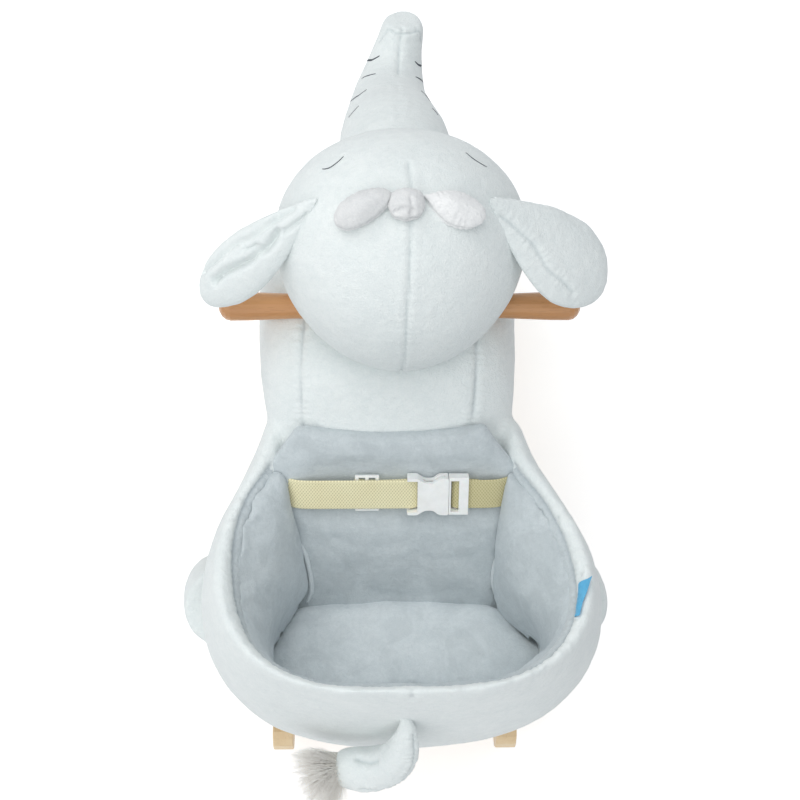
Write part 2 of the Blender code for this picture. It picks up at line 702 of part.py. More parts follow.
# Seat tub
# Right half of the tub in plan, from the rear centre to the front end.  Each
# station gives the wall's foot, the swell of its inner face, its inner rim, its
# outer rim, its widest line, its low line and its underside.
STATIONS = (
    ((0.0000, -0.2430), (0.0000, -0.2460, 0.310), (0.0000, -0.2510, 0.384),
     (0.0000, -0.2680, 0.386), (0.0000, -0.2790), (0.0000, -0.2740), (0.0000, -0.2630)),
    ((0.0600, -0.2405), (0.0610, -0.2440, 0.308), (0.0620, -0.2475, 0.380),
     (0.0700, -0.2650, 0.382), (0.0780, -0.2740), (0.0770, -0.2690), (0.0750, -0.2570)),
    ((0.0960, -0.2230), (0.0980, -0.2230, 0.303), (0.1000, -0.2200, 0.368),
     (0.1160, -0.2380, 0.370), (0.1280, -0.2490), (0.1260, -0.2440), (0.1200, -0.2350)),
    ((0.1000, -0.1920), (0.1000, -0.1900, 0.290), (0.1130, -0.1830, 0.356),
     (0.1390, -0.1960, 0.358), (0.1560, -0.2040), (0.1530, -0.2010), (0.1440, -0.1950)),
    ((0.0840, -0.1640), (0.0760, -0.1600, 0.277), (0.1120, -0.1470, 0.345),
     (0.1410, -0.1490, 0.347), (0.1580, -0.1510), (0.1540, -0.1500), (0.1430, -0.1480)),
    ((0.0760, -0.1340), (0.0655, -0.1330, 0.283), (0.1000, -0.1120, 0.338),
     (0.1230, -0.1080, 0.340), (0.1360, -0.1060), (0.1320, -0.1050), (0.1230, -0.1040)),
    ((0.0740, -0.0960), (0.0740, -0.1020, 0.306), (0.0850, -0.0880, 0.340),
     (0.1020, -0.0760, 0.342), (0.1100, -0.0700), (0.1080, -0.0680), (0.1040, -0.0660)),
    ((0.0720, -0.0600), (0.0740, -0.0660, 0.310), (0.0780, -0.0560, 0.336),
     (0.0880, -0.0400, 0.338), (0.0950, -0.0370), (0.0940, -0.0350), (0.0920, -0.0330)),
)
TUB_LEAN = -0.005
RIM_RISE = 0.016


def leaning(point):
    """The arms lean to the left where they meet the neck."""
    lean = TUB_LEAN * min(1.0, max(0.0, (point[1] + 0.145) / 0.06))
    return (point[0] + lean, *point[1:])


def whole_tub(half):
    """Mirror the right half of the stations to the left, and lean the arms."""
    left = [[(-p[0], *p[1:]) for p in station] for station in half[:0:-1]]
    return [[leaning(p) for p in station] for station in left + list(half)]


def tub_ring(station):
    """Section of the stuffed wall, from its underside up, over and down."""
    foot, swell, rim_in, rim_out, wide, low, under = [Vector(p) for p in station]
    out = (rim_out.xy - rim_in.xy).normalized() * LINING_THICK
    foot += out
    swell += Vector((out.x, out.y, 0.0))
    rim_in += Vector((out.x, out.y, 0.0)) * 0.7
    crest = ((rim_in.x + rim_out.x) / 2, (rim_in.y + rim_out.y) / 2,
             max(rim_in.z, rim_out.z) + RIM_RISE)
    return [(foot.x, foot.y, TUB_BOTTOM_Z), tuple(swell), tuple(rim_in), crest,
            tuple(rim_out), (wide.x, wide.y, HULL_WIDEST_Z),
            (low.x, low.y, HULL_LOW_Z), (under.x, under.y, TUB_BOTTOM_Z)]


body = soften(ring_loft("body", [tub_ring(s) for s in whole_tub(STATIONS)]), 1)
keep_space(register(body, PLUSH))


def lining_ring(station):
    """Section of the velvet lining that is let into the wall's inner face."""
    foot, swell, rim_in, rim_out = [Vector(p) for p in station[:4]]
    out = (rim_out.xy - rim_in.xy).normalized()
    deep = out * LINING_THICK * 3
    ring = [(foot, PAN_Z - 0.006), (swell.xy, swell.z), (rim_in.xy, rim_in.z - 0.003),
            (rim_in.xy + out * 0.010, rim_in.z + 0.006),
            (swell.xy + deep, swell.z), (foot + deep, PAN_Z - 0.006)]
    return [(p.x, p.y, z) for p, z in ring]


LINED = STATIONS[:-1]
seat_lining = soften(ring_loft("seat_lining", [lining_ring(s) for s in whole_tub(LINED)]), 1)
register(seat_lining, VELVET)

# Neck block
NECK_LEVELS = (
    # Z, half width of the rear corners, of the rear, of the front, rear Y, front Y
    (DECK_TOP_Z + GAP, 0.064, 0.068, 0.086, -0.156, 0.164),
    (0.196, 0.057, 0.061, 0.093, -0.160, 0.176),
    (0.235, 0.057, 0.061, 0.093, -0.160, 0.176),
    (0.285, 0.066, 0.082, 0.098, -0.122, 0.160),
    (0.325, 0.078, 0.099, 0.1015, -0.086, 0.146),
    (0.358, 0.070, 0.095, 0.098, -0.056, 0.130),
    (0.385, 0.056, 0.074, 0.082, -0.030, 0.112),
)


def neck_shift(z):
    """The stuffing leans to the left above the seat."""
    return NECK_LEAN * min(1.0, max(0.0, (z - 0.27) / 0.07))


def neck_ring(level):
    """Plan of the neck at one height, seen from above."""
    z, corner, half_rear, half_front, rear, front = level
    middle = (rear + front) / 2
    right = [(corner * 0.50, rear), (corner, rear + 0.006), (half_rear, rear + 0.038),
             (half_front, middle), (half_front, front - 0.045),
             (half_front * 0.55, front - 0.002)]
    left = [(-x, y) for x, y in reversed(right)]
    return [(x + neck_shift(z), y, z) for x, y in right + left]


neck = soften(ring_loft("neck", [neck_ring(level) for level in NECK_LEVELS]), 1)
keep_space(register(neck, PLUSH))


def wall_point(share, off=0.0):
    """Point on the front wall's middle line, off along its normal."""
    low, top = Vector(FRONT_WALL_LOW), Vector(FRONT_WALL_TOP)
    along = (top - low).normalized()
    normal = Vector((-along.y, along.x))
    return low + (top - low) * share + normal * off


def front_lining_rings():
    """A padded panel that lies on the neck's rear face."""
    rings = []
    layers = ((-0.022, 0.0), (-0.0015, 0.0), (0.0, 0.007), (0.0010, 0.030))
    for off, inset in layers:
        right = []
        for share, half in FRONT_WALL_WIDTHS:
            pull = inset / FRONT_WALL_LENGTH
            y, z = wall_point(pull + share * (1 - 2 * pull), off)
            right.append((half - inset, y, z))
        ring = right + [(-x, y, z) for x, y, z in reversed(right)]
        rings.append([(x + neck_shift(z), y, z) for x, y, z in ring])
    return rings


front_lining = soften(ring_loft("front_lining", front_lining_rings()), 1)
keep_space(register(front_lining, VELVET))

# Foam and pan cushion


def pan_outline(rear, front, half_front, half_rear, inset):
    """Plan of the seat pan, wider at the rear, seen from above."""
    right = [(0.0, rear + inset), (half_rear * 0.62, rear + 0.004 + inset),
             (half_rear * 0.97 - inset, rear + 0.020 + inset * 0.6),
             (half_rear - inset, rear + 0.034),
             ((half_rear + half_front) / 2 + 0.004 - inset, (rear + front) / 2 + 0.012),
             (half_front - inset, front - 0.006), (half_front * 0.88 - inset, front - inset),
             (0.0, front + 0.001 - inset)]
    left = [(-x, y) for x, y in reversed(right[1:-1])]
    return right + left


def pan_rings(levels, shrink=0.0):
    rings = []
    for z, inset in levels:
        plan = pan_outline(CUSHION_REAR_Y, CUSHION_FRONT_Y, CUSHION_HALF_FRONT - shrink,
                           CUSHION_HALF_REAR - shrink, inset)
        rings.append([(x, y, z) for x, y in plan])
    return rings


cushion_low = FOAM_TOP_Z + GAP
cushion_levels = ((cushion_low, 0.005), (cushion_low + CUSHION_THICK * 0.25, 0.0),
                  (cushion_low + CUSHION_THICK * 0.70, 0.0012),
                  (cushion_low + CUSHION_THICK, 0.008),
                  (cushion_low + CUSHION_THICK + CUSHION_CROWN * 0.6, 0.022),
                  (cushion_low + CUSHION_THICK + CUSHION_CROWN, 0.031))
seat_cushion = soften(ring_loft("seat_cushion", pan_rings(cushion_levels)), 1)
keep_space(register(seat_cushion, VELVET))
foam_levels = ((DECK_TOP_Z + GAP, 0.004), (FOAM_TOP_Z, 0.004))
seat_foam = ring_loft("seat_foam", pan_rings(foam_levels, 0.002))
register(seat_foam, FOAM)

# Leg holes


def leg_hole_ring(x, middle_y, count=14):
    """Rounded oblong in the YZ plane at the given X."""
    ring = []
    for k in range(count):
        c, s = cos(2 * pi * k / count), sin(2 * pi * k / count)
        y = middle_y + LEG_HOLE_HALF_LENGTH * copysign(abs(c) ** 0.7, c)
        z = LEG_HOLE_Z + LEG_HOLE_HALF_HEIGHT * copysign(abs(s) ** 0.8, s)
        ring.append((x, y, z))
    return ring


for side, sign in SIDES:
    hole = ring_loft("leg_hole_" + side,
                     [leg_hole_ring(sign * LEG_HOLE_INNER_X, LEG_HOLE_INNER_Y),
                      leg_hole_ring(sign * LEG_HOLE_OUTER_X, LEG_HOLE_OUTER_Y)])
    cut(seat_lining, hole)
    cut(body, hole)

# Head


def head_shape(unit):
    """An egg, blunt at the face and narrower at the nape."""
    wide = 1.0 + 0.12 * unit.y
    return Vector((HEAD_CENTRE[0] + HEAD_HALF[0] * unit.x * wide,
                   HEAD_CENTRE[1] + HEAD_HALF[1] * unit.y,
                   HEAD_CENTRE[2] + HEAD_HALF[2] * unit.z * (1.0 + 0.04 * unit.y)))


head = keep_space(register(stuffed_ball("head", head_shape, 18, 11), PLUSH))



def from_head(offset, sign=1.0):
    """A place given from the head's centre, mirrored for the left side."""
    return tuple(Vector(HEAD_CENTRE) + Vector(mirrored(offset, sign)))


trunk = stuffed_tube("trunk", [from_head(p[:3]) for p in TRUNK_LINE],
                     [p[3] for p in TRUNK_LINE], 2, 3)
register(trunk, PLUSH)


def ear_frame(sign, root, tip, face):
    """Length, width and thickness directions of an ear."""
    root, tip = Vector(from_head(root, sign)), Vector(from_head(tip, sign))
    along = (tip - root).normalized()
    face = Vector(mirrored(face, sign))
    face = (face - along * face.dot(along)).normalized()
    across = face.cross(along).normalized()
    return root, along, across, face


def ear_shape(sign, root, tip, face, length, half_width):
    """A flat stuffed drop, narrow at its root."""
    root, along, across, normal = ear_frame(sign, root, tip, face)

    def shape(unit):
        share = (unit.z + 1) / 2
        width = half_width * (0.30 + 0.86 * sin(pi * min(1.0, share * 0.95) ** 1.05 / 1.9))
        thick = EAR_THICK / 2 * (0.40 + 0.75 * share)
        place = root + along * (length * share)
        place += across * (unit.x * width * sign)
        place += normal * (unit.y * thick)
        return place
    return shape


ears = {}
for side, sign in SIDES:
    shape = ear_shape(sign, EAR_ROOT, EAR_TIPS[side], EAR_FACES[side], EAR_LENGTH,
                      EAR_HALF_WIDTHS[side])
    ear = register(stuffed_ball("ear_" + side, shape, 12, 9), PLUSH)
    ears[side] = set_pivot(ear, from_head(EAR_ROOT, sign))

hair = []
for name, centre, half, tilt in HAIR:
    turn = Matrix.Rotation(radians(tilt), 3, "Y")

    def lobe(unit, centre=centre, half=half, turn=turn):
        local = Vector([unit[i] * half[i] for i in range(3)])
        return Vector(from_head(centre)) + turn @ local
    hair.append(register(stuffed_ball(name, lobe, 9, 6), PLUSH))

# Legs
legs = {}
SLAT_TOP_Z = SLAT_BOTTOM_Z + SLAT_THICK


def stuffed_leg(name, sign, foot, radius, line, low):
    """A leg down its line and into a foot with a flat, rounded sole."""
    ends = [*line, (0.0, 0.0, low + SOLE_ROUND, 0.93), (0.0, 0.0, low, 0.75)]
    path = [mirrored((foot[0] + dx, foot[1] + dy, z), sign) for dx, dy, z, _ in ends]
    return register(stuffed_tube(name, path, [radius * share for *_, share in ends], 2, 3), PLUSH)


for side, sign in SIDES:
    legs["hind", side] = stuffed_leg("leg_hind_" + side, sign, HIND_FOOT, HIND_FOOT_RADIUS,
                                     HIND_LEG_LINE, HIND_FOOT_BOTTOM_Z)
    low = SLAT_TOP_Z + GAP
    shin = (0.0, 0.0, low + SOLE_ROUND * 2.5, 1.0)
    legs["front", side] = stuffed_leg("leg_front_" + side, sign, FRONT_FOOT, FRONT_FOOT_RADIUS,
                                      (*FRONT_LEG_LINE, shin), low)

# Tail
x, y, z = TAIL_ROOT
tail_path = ((x, y, z), (x + 0.0040, y - 0.0125, z - 0.012), (x + 0.0010, y - 0.0205, z - 0.026),
             (x - 0.0060, y - 0.0265, z - 0.042), (x - 0.0180, y - 0.0285, z - 0.053),
             (x - 0.0310, y - 0.0277, z - 0.056), (x - 0.0400, y - 0.0265, z - 0.057),
             (x - 0.0440, y - 0.0260, z - 0.057))
tail_radii = (0.007, 0.0090, TAIL_RADIUS * 0.78, TAIL_RADIUS * 0.98, TAIL_RADIUS * 1.04,
              TAIL_RADIUS, TAIL_RADIUS * 0.86, TAIL_RADIUS * 0.62)
tail = set_pivot(register(stuffed_tube("tail", tail_path, tail_radii, 2, 2), PLUSH), TAIL_ROOT)
tuft_axis = Vector((-1.0, -0.05, -0.35)).normalized()
tuft_start = Vector(tail_path[-1]) + tuft_axis * 0.0012
tuft_points = [tuft_start + tuft_axis * (TUFT_LENGTH * share) for share in (0.0, 0.25, 0.75, 1.0)]
tuft_radii = (0.006, TUFT_RADIUS * 0.84, TUFT_RADIUS, TUFT_RADIUS * 0.45)
tail_tuft = set_pivot(register(stuffed_tube("tail_tuft", tuft_points, tuft_radii, 2, 2), FUR),
                      TAIL_ROOT)

# Belt
# The belt's own frame: X along the webbing, Y up the front wall, Z off it.
belt_y, belt_z = wall_point(BELT_WALL_SHARE, BELT_OFF_WALL)
wall_run = Vector(FRONT_WALL_TOP) - Vector(FRONT_WALL_LOW)
BELT_PLACE = (Matrix.Translation((0.0, belt_y, belt_z))
              @ Matrix.Rotation(Vector((1.0, 0.0)).angle(wall_run), 4, "X"))
LAYER = 0.0050          # between the middles of the folded webbing's layers
FOLD_TAIL = 0.0085      # sewn end of the fold past the plug
BAR_HALF_WIDTH = 0.0006
BAR_HALF_HEIGHT = 0.0011


def on_belt(obj):
    obj.matrix_basis = BELT_PLACE @ obj.matrix_basis
    return obj


def ribbon_outline(line, thick):
    """Closed outline of a strip that follows a line of points."""
    points = [Vector(p) for p in line]
    upper, lower = [], []
    for i, point in enumerate(points):
        before = points[max(i - 1, 0)]
        after = points[min(i + 1, len(points) - 1)]
        way = (after - before).normalized()
        side = Vector((-way.y, way.x)) * (thick / 2)
        upper.append(point + side)
        lower.append(point - side)
    return upper + lower[::-1]


def webbing(name, line):
    """Webbing that follows a line in the belt's XZ plane."""
    outline = [(p.x, p.y) for p in ribbon_outline(line, WEBBING_THICK)]
    upright = BELT_PLACE @ Matrix.Rotation(pi / 2, 4, "X")
    return register(flat_outline(name, outline, WEBBING_WIDTH / 2, upright), WEBBING)


def fold(centre_x, sign):
    """Half turn of the webbing about a bar, from the front layer to the back."""
    middle = -LAYER / 2
    return [(centre_x + sign * LAYER / 2 * sin(pi * k / 6), middle + LAYER / 2 * cos(pi * k / 6))
            for k in range(7)]


SOCKET_BAR_X = SOCKET_LEFT_X + 0.0085
PLUG_BAR_X = PLUG_RIGHT_X - 0.0095
strap_left = webbing("strap_left", [(BELT_LEFT_X, 0.0), (BELT_LEFT_X / 2, 0.0)]
                     + fold(SOCKET_BAR_X, 1.0) + [(GLIDE_X - GLIDE_HALF_LENGTH + 0.004, -LAYER)])
strap_right = webbing("strap_right", [(BELT_RIGHT_X, 0.0), (PLUG_RIGHT_X + 0.010, 0.0)]
                      + fold(PLUG_BAR_X, -1.0) + [(PLUG_RIGHT_X + FOLD_TAIL, -LAYER)])


def belt_box(name, low, high):
    return on_belt(box_object(name, low, high))


# tri-glide between the two layers of the left strap
glide_middle = -LAYER / 2
tri_glide = belt_box("tri_glide",
                     (GLIDE_X - GLIDE_HALF_LENGTH, -GLIDE_HALF_HEIGHT, glide_middle - GLIDE_THICK / 2),
                     (GLIDE_X + GLIDE_HALF_LENGTH, GLIDE_HALF_HEIGHT, glide_middle + GLIDE_THICK / 2))
register(tri_glide, WHITE_PLASTIC)
for number, sign in ((1, -1.0), (2, 1.0)):
    inner = GLIDE_X + sign * GLIDE_BAR / 2
    outer = GLIDE_X + sign * (GLIDE_HALF_LENGTH - GLIDE_BAR)
    low_x, high_x = sorted((inner, outer))
    slot = belt_box(f"glide_slot_{number}",
                    (low_x, -WEBBING_WIDTH / 2 - 0.0008, glide_middle - 0.01),
                    (high_x, WEBBING_WIDTH / 2 + 0.0008, glide_middle + 0.01))
    cut(tri_glide, slot)

# buckle socket: cheeks, a rail over the webbing, a bar in its fold, a cavity
half_v = BUCKLE_HALF_HEIGHT
half_n = BUCKLE_HALF_THICK
web_v = WEBBING_WIDTH / 2 + 0.0006
web_clear = WEBBING_THICK / 2 + GAP
bar_low, bar_high = -LAYER / 2 - BAR_HALF_HEIGHT, -LAYER / 2 + BAR_HALF_HEIGHT
buckle_socket = belt_box("buckle_socket", (SOCKET_LEFT_X, -half_v, -half_n),
                         (SOCKET_RIGHT_X, half_v, half_n))
register(buckle_socket, WHITE_PLASTIC)
pocket_end = SOCKET_BAR_X + LAYER / 2 + web_clear
webbing_space = belt_box("socket_webbing_space",
                         (SOCKET_LEFT_X - 0.01, -web_v, -0.02), (pocket_end, web_v, web_clear))
webbing_bar = belt_box("socket_bar",
                       (SOCKET_BAR_X - BAR_HALF_WIDTH, -web_v - 0.001, bar_low),
                       (SOCKET_BAR_X + BAR_HALF_WIDTH, web_v + 0.001, bar_high))
rail_window = belt_box("socket_rail_window",
                       (SOCKET_LEFT_X + 0.0068, -web_v, 0.0), (pocket_end, web_v, 0.02))
cavity = belt_box("socket_cavity",
                  (pocket_end + 0.0022, -CAVITY_HALF_HEIGHT, -CAVITY_HALF_THICK),
                  (SOCKET_RIGHT_X + 0.01, CAVITY_HALF_HEIGHT, CAVITY_HALF_THICK))
cut(buckle_socket, webbing_space)
cut(buckle_socket, rail_window)
cut(buckle_socket, webbing_bar, "UNION")
cut(buckle_socket, cavity)
PRONG_LEFT_X = SOCKET_LEFT_X + 0.0190
PRONG_BUTTON_X = PRONG_LEFT_X + 0.0070
for number, sign in ((1, -1.0), (2, 1.0)):
    low_v, high_v = sorted((sign * (CAVITY_HALF_HEIGHT - 0.002), sign * 0.02))
    window = belt_box(f"prong_window_{number}",
                      (PRONG_LEFT_X - 0.001, low_v, -CAVITY_HALF_THICK),
                      (PRONG_BUTTON_X + 0.0015, high_v, CAVITY_HALF_THICK))
    cut(buckle_socket, window)

# buckle plug: a ring with the webbing's rail and bar, and a middle tongue
plug_left = SOCKET_RIGHT_X + GAP
plug_half_n = 0.0042
buckle_plug = belt_box("buckle_plug", (plug_left, -half_v, -plug_half_n),
                       (PLUG_RIGHT_X, half_v, plug_half_n))
register(buckle_plug, WHITE_PLASTIC)
plug_pocket = PLUG_BAR_X - LAYER / 2 - web_clear
tongue = belt_box("plug_tongue", (SOCKET_LEFT_X + 0.0165, -0.0034, -PRONG_HALF_THICK),
                  (plug_left + 0.001, 0.0034, PRONG_HALF_THICK))
plug_webbing_space = belt_box("plug_webbing_space", (plug_pocket, -web_v, -0.02),
                              (PLUG_RIGHT_X + 0.01, web_v, web_clear))
plug_window = belt_box("plug_rail_window", (plug_pocket, -web_v, 0.0),
                       (PLUG_RIGHT_X - 0.0072, web_v, 0.02))
plug_bar = belt_box("plug_bar", (PLUG_BAR_X - BAR_HALF_WIDTH, -web_v - 0.001, bar_low),
                    (PLUG_BAR_X + BAR_HALF_WIDTH, web_v + 0.001, bar_high))
cut(buckle_plug, tongue, "UNION")
cut(buckle_plug, plug_webbing_space)
cut(buckle_plug, plug_window)
cut(buckle_plug, plug_bar, "UNION")

# side prongs that spring inwards, each on a pivot at the plug's face
PRONG_PIVOT_X = SOCKET_RIGHT_X - 0.0030
PRONG_OUTER_V = CAVITY_HALF_HEIGHT - 0.0004
PRONG_WIDTH = 0.0030
prongs = []
for name, sign in (("prong_lower", -1.0), ("prong_upper", 1.0)):
    outer = PRONG_OUTER_V
    inner = outer - PRONG_WIDTH
    line = [(PRONG_PIVOT_X + 0.0024, outer - 0.0006), (PRONG_BUTTON_X + 0.001, outer - 0.0006),
            (PRONG_BUTTON_X - 0.001, outer), (PRONG_LEFT_X + 0.001, outer),
            (PRONG_LEFT_X, outer - 0.0012), (PRONG_LEFT_X + 0.001, inner - 0.0006),
            (PRONG_BUTTON_X, inner - 0.0006), (PRONG_BUTTON_X + 0.002, inner + 0.0004),
            (PRONG_PIVOT_X + 0.0024, inner + 0.0004)]
    line = [(x - PRONG_PIVOT_X, sign * (v - (outer - PRONG_WIDTH / 2))) for x, v in line]
    pivot = (BELT_PLACE @ Matrix.Translation((PRONG_PIVOT_X, sign * (outer - PRONG_WIDTH / 2), 0.0)))
    if sign < 0:
        line.reverse()
    prong = flat_outline(name, line, PRONG_HALF_THICK, pivot)
    prongs.append(register(prong, WHITE_PLASTIC))

# pockets in the wall that the strap ends run into
for name, ends in (("left", (BELT_LEFT_X - POCKET_CLEARANCE, BELT_LEFT_X + 0.030)),
                   ("right", (BELT_RIGHT_X - 0.030, BELT_RIGHT_X + PLUG_TRAVEL + POCKET_CLEARANCE))):
    pocket = belt_box("strap_pocket_" + name,
                      (ends[0], -WEBBING_WIDTH / 2 - POCKET_CLEARANCE,
                       -WEBBING_THICK / 2 - POCKET_CLEARANCE),
                      (ends[1], WEBBING_WIDTH / 2 + POCKET_CLEARANCE,
                       WEBBING_THICK / 2 + POCKET_CLEARANCE))
    cut(body, pocket)
    cut(seat_lining, pocket)

side_tag = box_object("side_tag",
                      (TAG_PLACE[0] - TAG_SIZE[0] / 2, TAG_PLACE[1] - TAG_SIZE[1] / 2, TAG_PLACE[2]),
                      (TAG_PLACE[0] + TAG_SIZE[0] / 2, TAG_PLACE[1] + TAG_SIZE[1] / 2,
                       TAG_PLACE[2] + TAG_SIZE[2]))
register(side_tag, BLUE)

# Each piece clears its neighbour
for piece in (neck, front_lining, deck, side_tag, posts["rear", "left"], posts["rear", "right"]):
    cut_clear(body, piece)
for piece in (body, front_lining, neck, seat_cushion):
    cut_clear(seat_lining, piece)
for piece in (front_lining, neck):
    cut_clear(seat_foam, piece)
cut_clear(trunk, head)
cut_clear(trunk, neck)
for piece in (*ears.values(), *hair):
    cut_clear(piece, head)
for side, sign in SIDES:
    cut_clear(legs["front", side], neck)
for piece in (neck_post, posts["front", "left"], posts["front", "right"], handle_rod,
              front_lining, head):
    cut_clear(neck, piece)
for piece in (neck_post, handle_rod):
    cut_clear(head, piece)
for room in grip_rooms:
    cut(neck, room)
    cut(head, room)
for side, sign in SIDES:
    cut_clear(legs["hind", side], body)
cut_clear(tail, body)
cut_clear(tail_tuft, tail)
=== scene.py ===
"""Plush elephant rocker: stuffed plush, velvet seat, webbing belt, beech rockers.

Metres, +Z up, the animal faces +Y.  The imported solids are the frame; every
soft piece is rebuilt here with its seams, nap and stitching.
"""
from math import copysign, cos, pi, radians, sin, sqrt

import bmesh
import bpy
import numpy as np
from mathutils import Matrix, Vector, noise
from mathutils.bvhtree import BVHTree


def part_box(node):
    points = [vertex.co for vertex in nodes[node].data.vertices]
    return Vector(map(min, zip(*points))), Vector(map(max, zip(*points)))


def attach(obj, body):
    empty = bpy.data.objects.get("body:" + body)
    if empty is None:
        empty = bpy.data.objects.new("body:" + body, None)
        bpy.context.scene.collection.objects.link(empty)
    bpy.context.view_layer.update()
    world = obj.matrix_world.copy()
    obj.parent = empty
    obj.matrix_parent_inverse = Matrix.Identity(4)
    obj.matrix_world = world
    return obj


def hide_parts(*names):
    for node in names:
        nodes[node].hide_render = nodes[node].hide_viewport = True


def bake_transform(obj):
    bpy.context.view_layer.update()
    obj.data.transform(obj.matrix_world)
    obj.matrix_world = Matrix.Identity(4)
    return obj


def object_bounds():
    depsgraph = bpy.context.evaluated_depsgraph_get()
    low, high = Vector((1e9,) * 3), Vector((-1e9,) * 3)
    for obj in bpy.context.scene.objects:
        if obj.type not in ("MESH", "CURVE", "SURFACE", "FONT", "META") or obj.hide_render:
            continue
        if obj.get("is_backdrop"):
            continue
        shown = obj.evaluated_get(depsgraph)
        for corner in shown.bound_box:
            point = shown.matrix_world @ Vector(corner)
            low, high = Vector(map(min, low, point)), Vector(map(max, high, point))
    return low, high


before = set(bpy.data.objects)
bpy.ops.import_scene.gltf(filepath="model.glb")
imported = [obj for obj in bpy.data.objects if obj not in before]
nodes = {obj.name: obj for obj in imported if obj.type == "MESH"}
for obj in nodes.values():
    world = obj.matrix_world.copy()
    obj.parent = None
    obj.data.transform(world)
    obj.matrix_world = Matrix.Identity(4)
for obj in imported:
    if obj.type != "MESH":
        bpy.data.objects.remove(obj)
cad_low, cad_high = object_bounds()

PLUSH_VOXEL = 0.0032        # face size of the remeshed covers
PLUSH_PILE, VELVET_PILE = 0.0011, 0.0007
COOL = (0.9, 0.95, 1.0, 1.0)
SIDES = (("left", -1.0), ("right", 1.0))


# Mesh helpers
def link(obj):
    bpy.context.scene.collection.objects.link(obj)
    return obj


def from_form(name, form):
    """An object of what a bmesh holds."""
    mesh = bpy.data.meshes.new(name)
    form.to_mesh(mesh)
    form.free()
    mesh.shade_smooth()
    return link(bpy.data.objects.new(name, mesh))


def new_mesh(name, points, faces):
    mesh = bpy.data.meshes.new(name)
    mesh.from_pydata([tuple(p) for p in points], [], faces)
    mesh.validate()
    form = bmesh.new()
    form.from_mesh(mesh)
    bpy.data.meshes.remove(mesh)
    bmesh.ops.recalc_face_normals(form, faces=form.faces)
    return from_form(name, form)


def bake(obj):
    """Replace the mesh by what the modifiers make of it."""
    bpy.context.view_layer.update()
    graph = bpy.context.evaluated_depsgraph_get()
    mesh = bpy.data.meshes.new_from_object(obj.evaluated_get(graph))
    obj.modifiers.clear()
    obj.data = mesh
    return obj


def modify(obj, kind, **settings):
    made = obj.modifiers.new(kind.lower(), kind)
    for key, value in settings.items():
        setattr(made, key, value)
    return bake(obj)


def subdivide(obj, levels):
    return modify(obj, "SUBSURF", levels=levels, render_levels=levels)


def remesh(obj, size, smooth):
    """Even quads of one size, eased so that no facet or sharp edge is left."""
    modify(obj, "REMESH", mode="VOXEL", voxel_size=size, use_smooth_shade=True)
    return modify(obj, "SMOOTH", factor=0.5, iterations=smooth)


def carve(obj, cutter):
    modify(obj, "BOOLEAN", operation="DIFFERENCE", object=cutter, solver="EXACT")
    bpy.data.objects.remove(cutter, do_unlink=True)
    return obj


def join(obj, *others):
    """Put the meshes of several objects into the first one."""
    form = bmesh.new()
    for source in (obj, *others):
        form.from_mesh(source.data)
    form.to_mesh(obj.data)
    form.free()
    for source in others:
        bpy.data.objects.remove(source, do_unlink=True)
    return obj


def laid(obj, points):
    """The nearest points of an object's surface."""
    tree = BVHTree.FromObject(obj, bpy.context.evaluated_depsgraph_get())
    return [tree.find_nearest(Vector(point))[0] for point in points]


def ring_loft(name, rings):
    """A body through rings of equal count, fanned shut at both ends."""
    count = len(rings[0])
    points = [p for ring in rings for p in ring]
    faces = []
    for k in range(len(rings) - 1):
        for i in range(count):
            j = (i + 1) % count
            faces.append((k * count + i, k * count + j, (k + 1) * count + j, (k + 1) * count + i))
    for start in (0, (len(rings) - 1) * count):
        middle = len(points)
        row = [Vector(points[start + i]) for i in range(count)]
        points.append(sum(row, Vector()) / count)
        faces += [(start + i, start + (i + 1) % count, middle) for i in range(count)]
    return new_mesh(name, points, faces)


def two_sides(rows, columns):
    """The faces of a thin sheet of points: front, back and the four edges."""
    faces = []
    layer = rows * columns
    for i in range(rows - 1):
        for j in range(columns - 1):
            a = i * columns + j
            faces.append((a, a + 1, a + columns + 1, a + columns))
            faces.append((layer + a, layer + a + columns, layer + a + columns + 1, layer + a + 1))
        for j in (0, columns - 1):
            a = i * columns + j
            faces.append((a, a + columns, layer + a + columns, layer + a))
    for i in (0, rows - 1):
        for j in range(columns - 1):
            a = i * columns + j
            faces.append((a, layer + a, layer + a + 1, a + 1))
    return faces


def catmull(points, steps):
    known = [Vector(p) for p in points]
    known = [2 * known[0] - known[1]] + known + [2 * known[-1] - known[-2]]
    found = []
    for a, b, c, d in zip(known, known[1:], known[2:], known[3:]):
        for k in range(steps):
            t = k / steps
            found.append(0.5 * (2 * b + (c - a) * t + (2 * a - 5 * b + 4 * c - d) * t * t
                                + (3 * b - a - 3 * c + d) * t ** 3))
    found.append(known[-2])
    return found


def frames_along(path):
    """Point, side and up at each point, carried on without twist."""
    found = []
    side = None
    for i, point in enumerate(path):
        way = (path[min(i + 1, len(path) - 1)] - path[max(i - 1, 0)]).normalized()
        if side is None:
            side = way.cross(Vector((0.0, 0.0, 1.0))).normalized()
        side = (side - way * side.dot(way)).normalized()
        found.append((point, side, side.cross(way).normalized()))
    return found


def tube(name, points, radii, sides=28, steps=8):
    """A stuffed tube with round ends along a curve."""
    line = catmull([(*p, r) for p, r in zip(points, radii)], steps)
    path = [Vector(p[:3]) for p in line]
    sizes = [p[3] for p in line]
    rings = []
    for (point, side, up), r in zip(frames_along(path), sizes):
        rings.append([point + side * (r * cos(2 * pi * k / sides))
                      + up * (r * sin(2 * pi * k / sides)) for k in range(sides)])
    return ring_loft(name, rings)


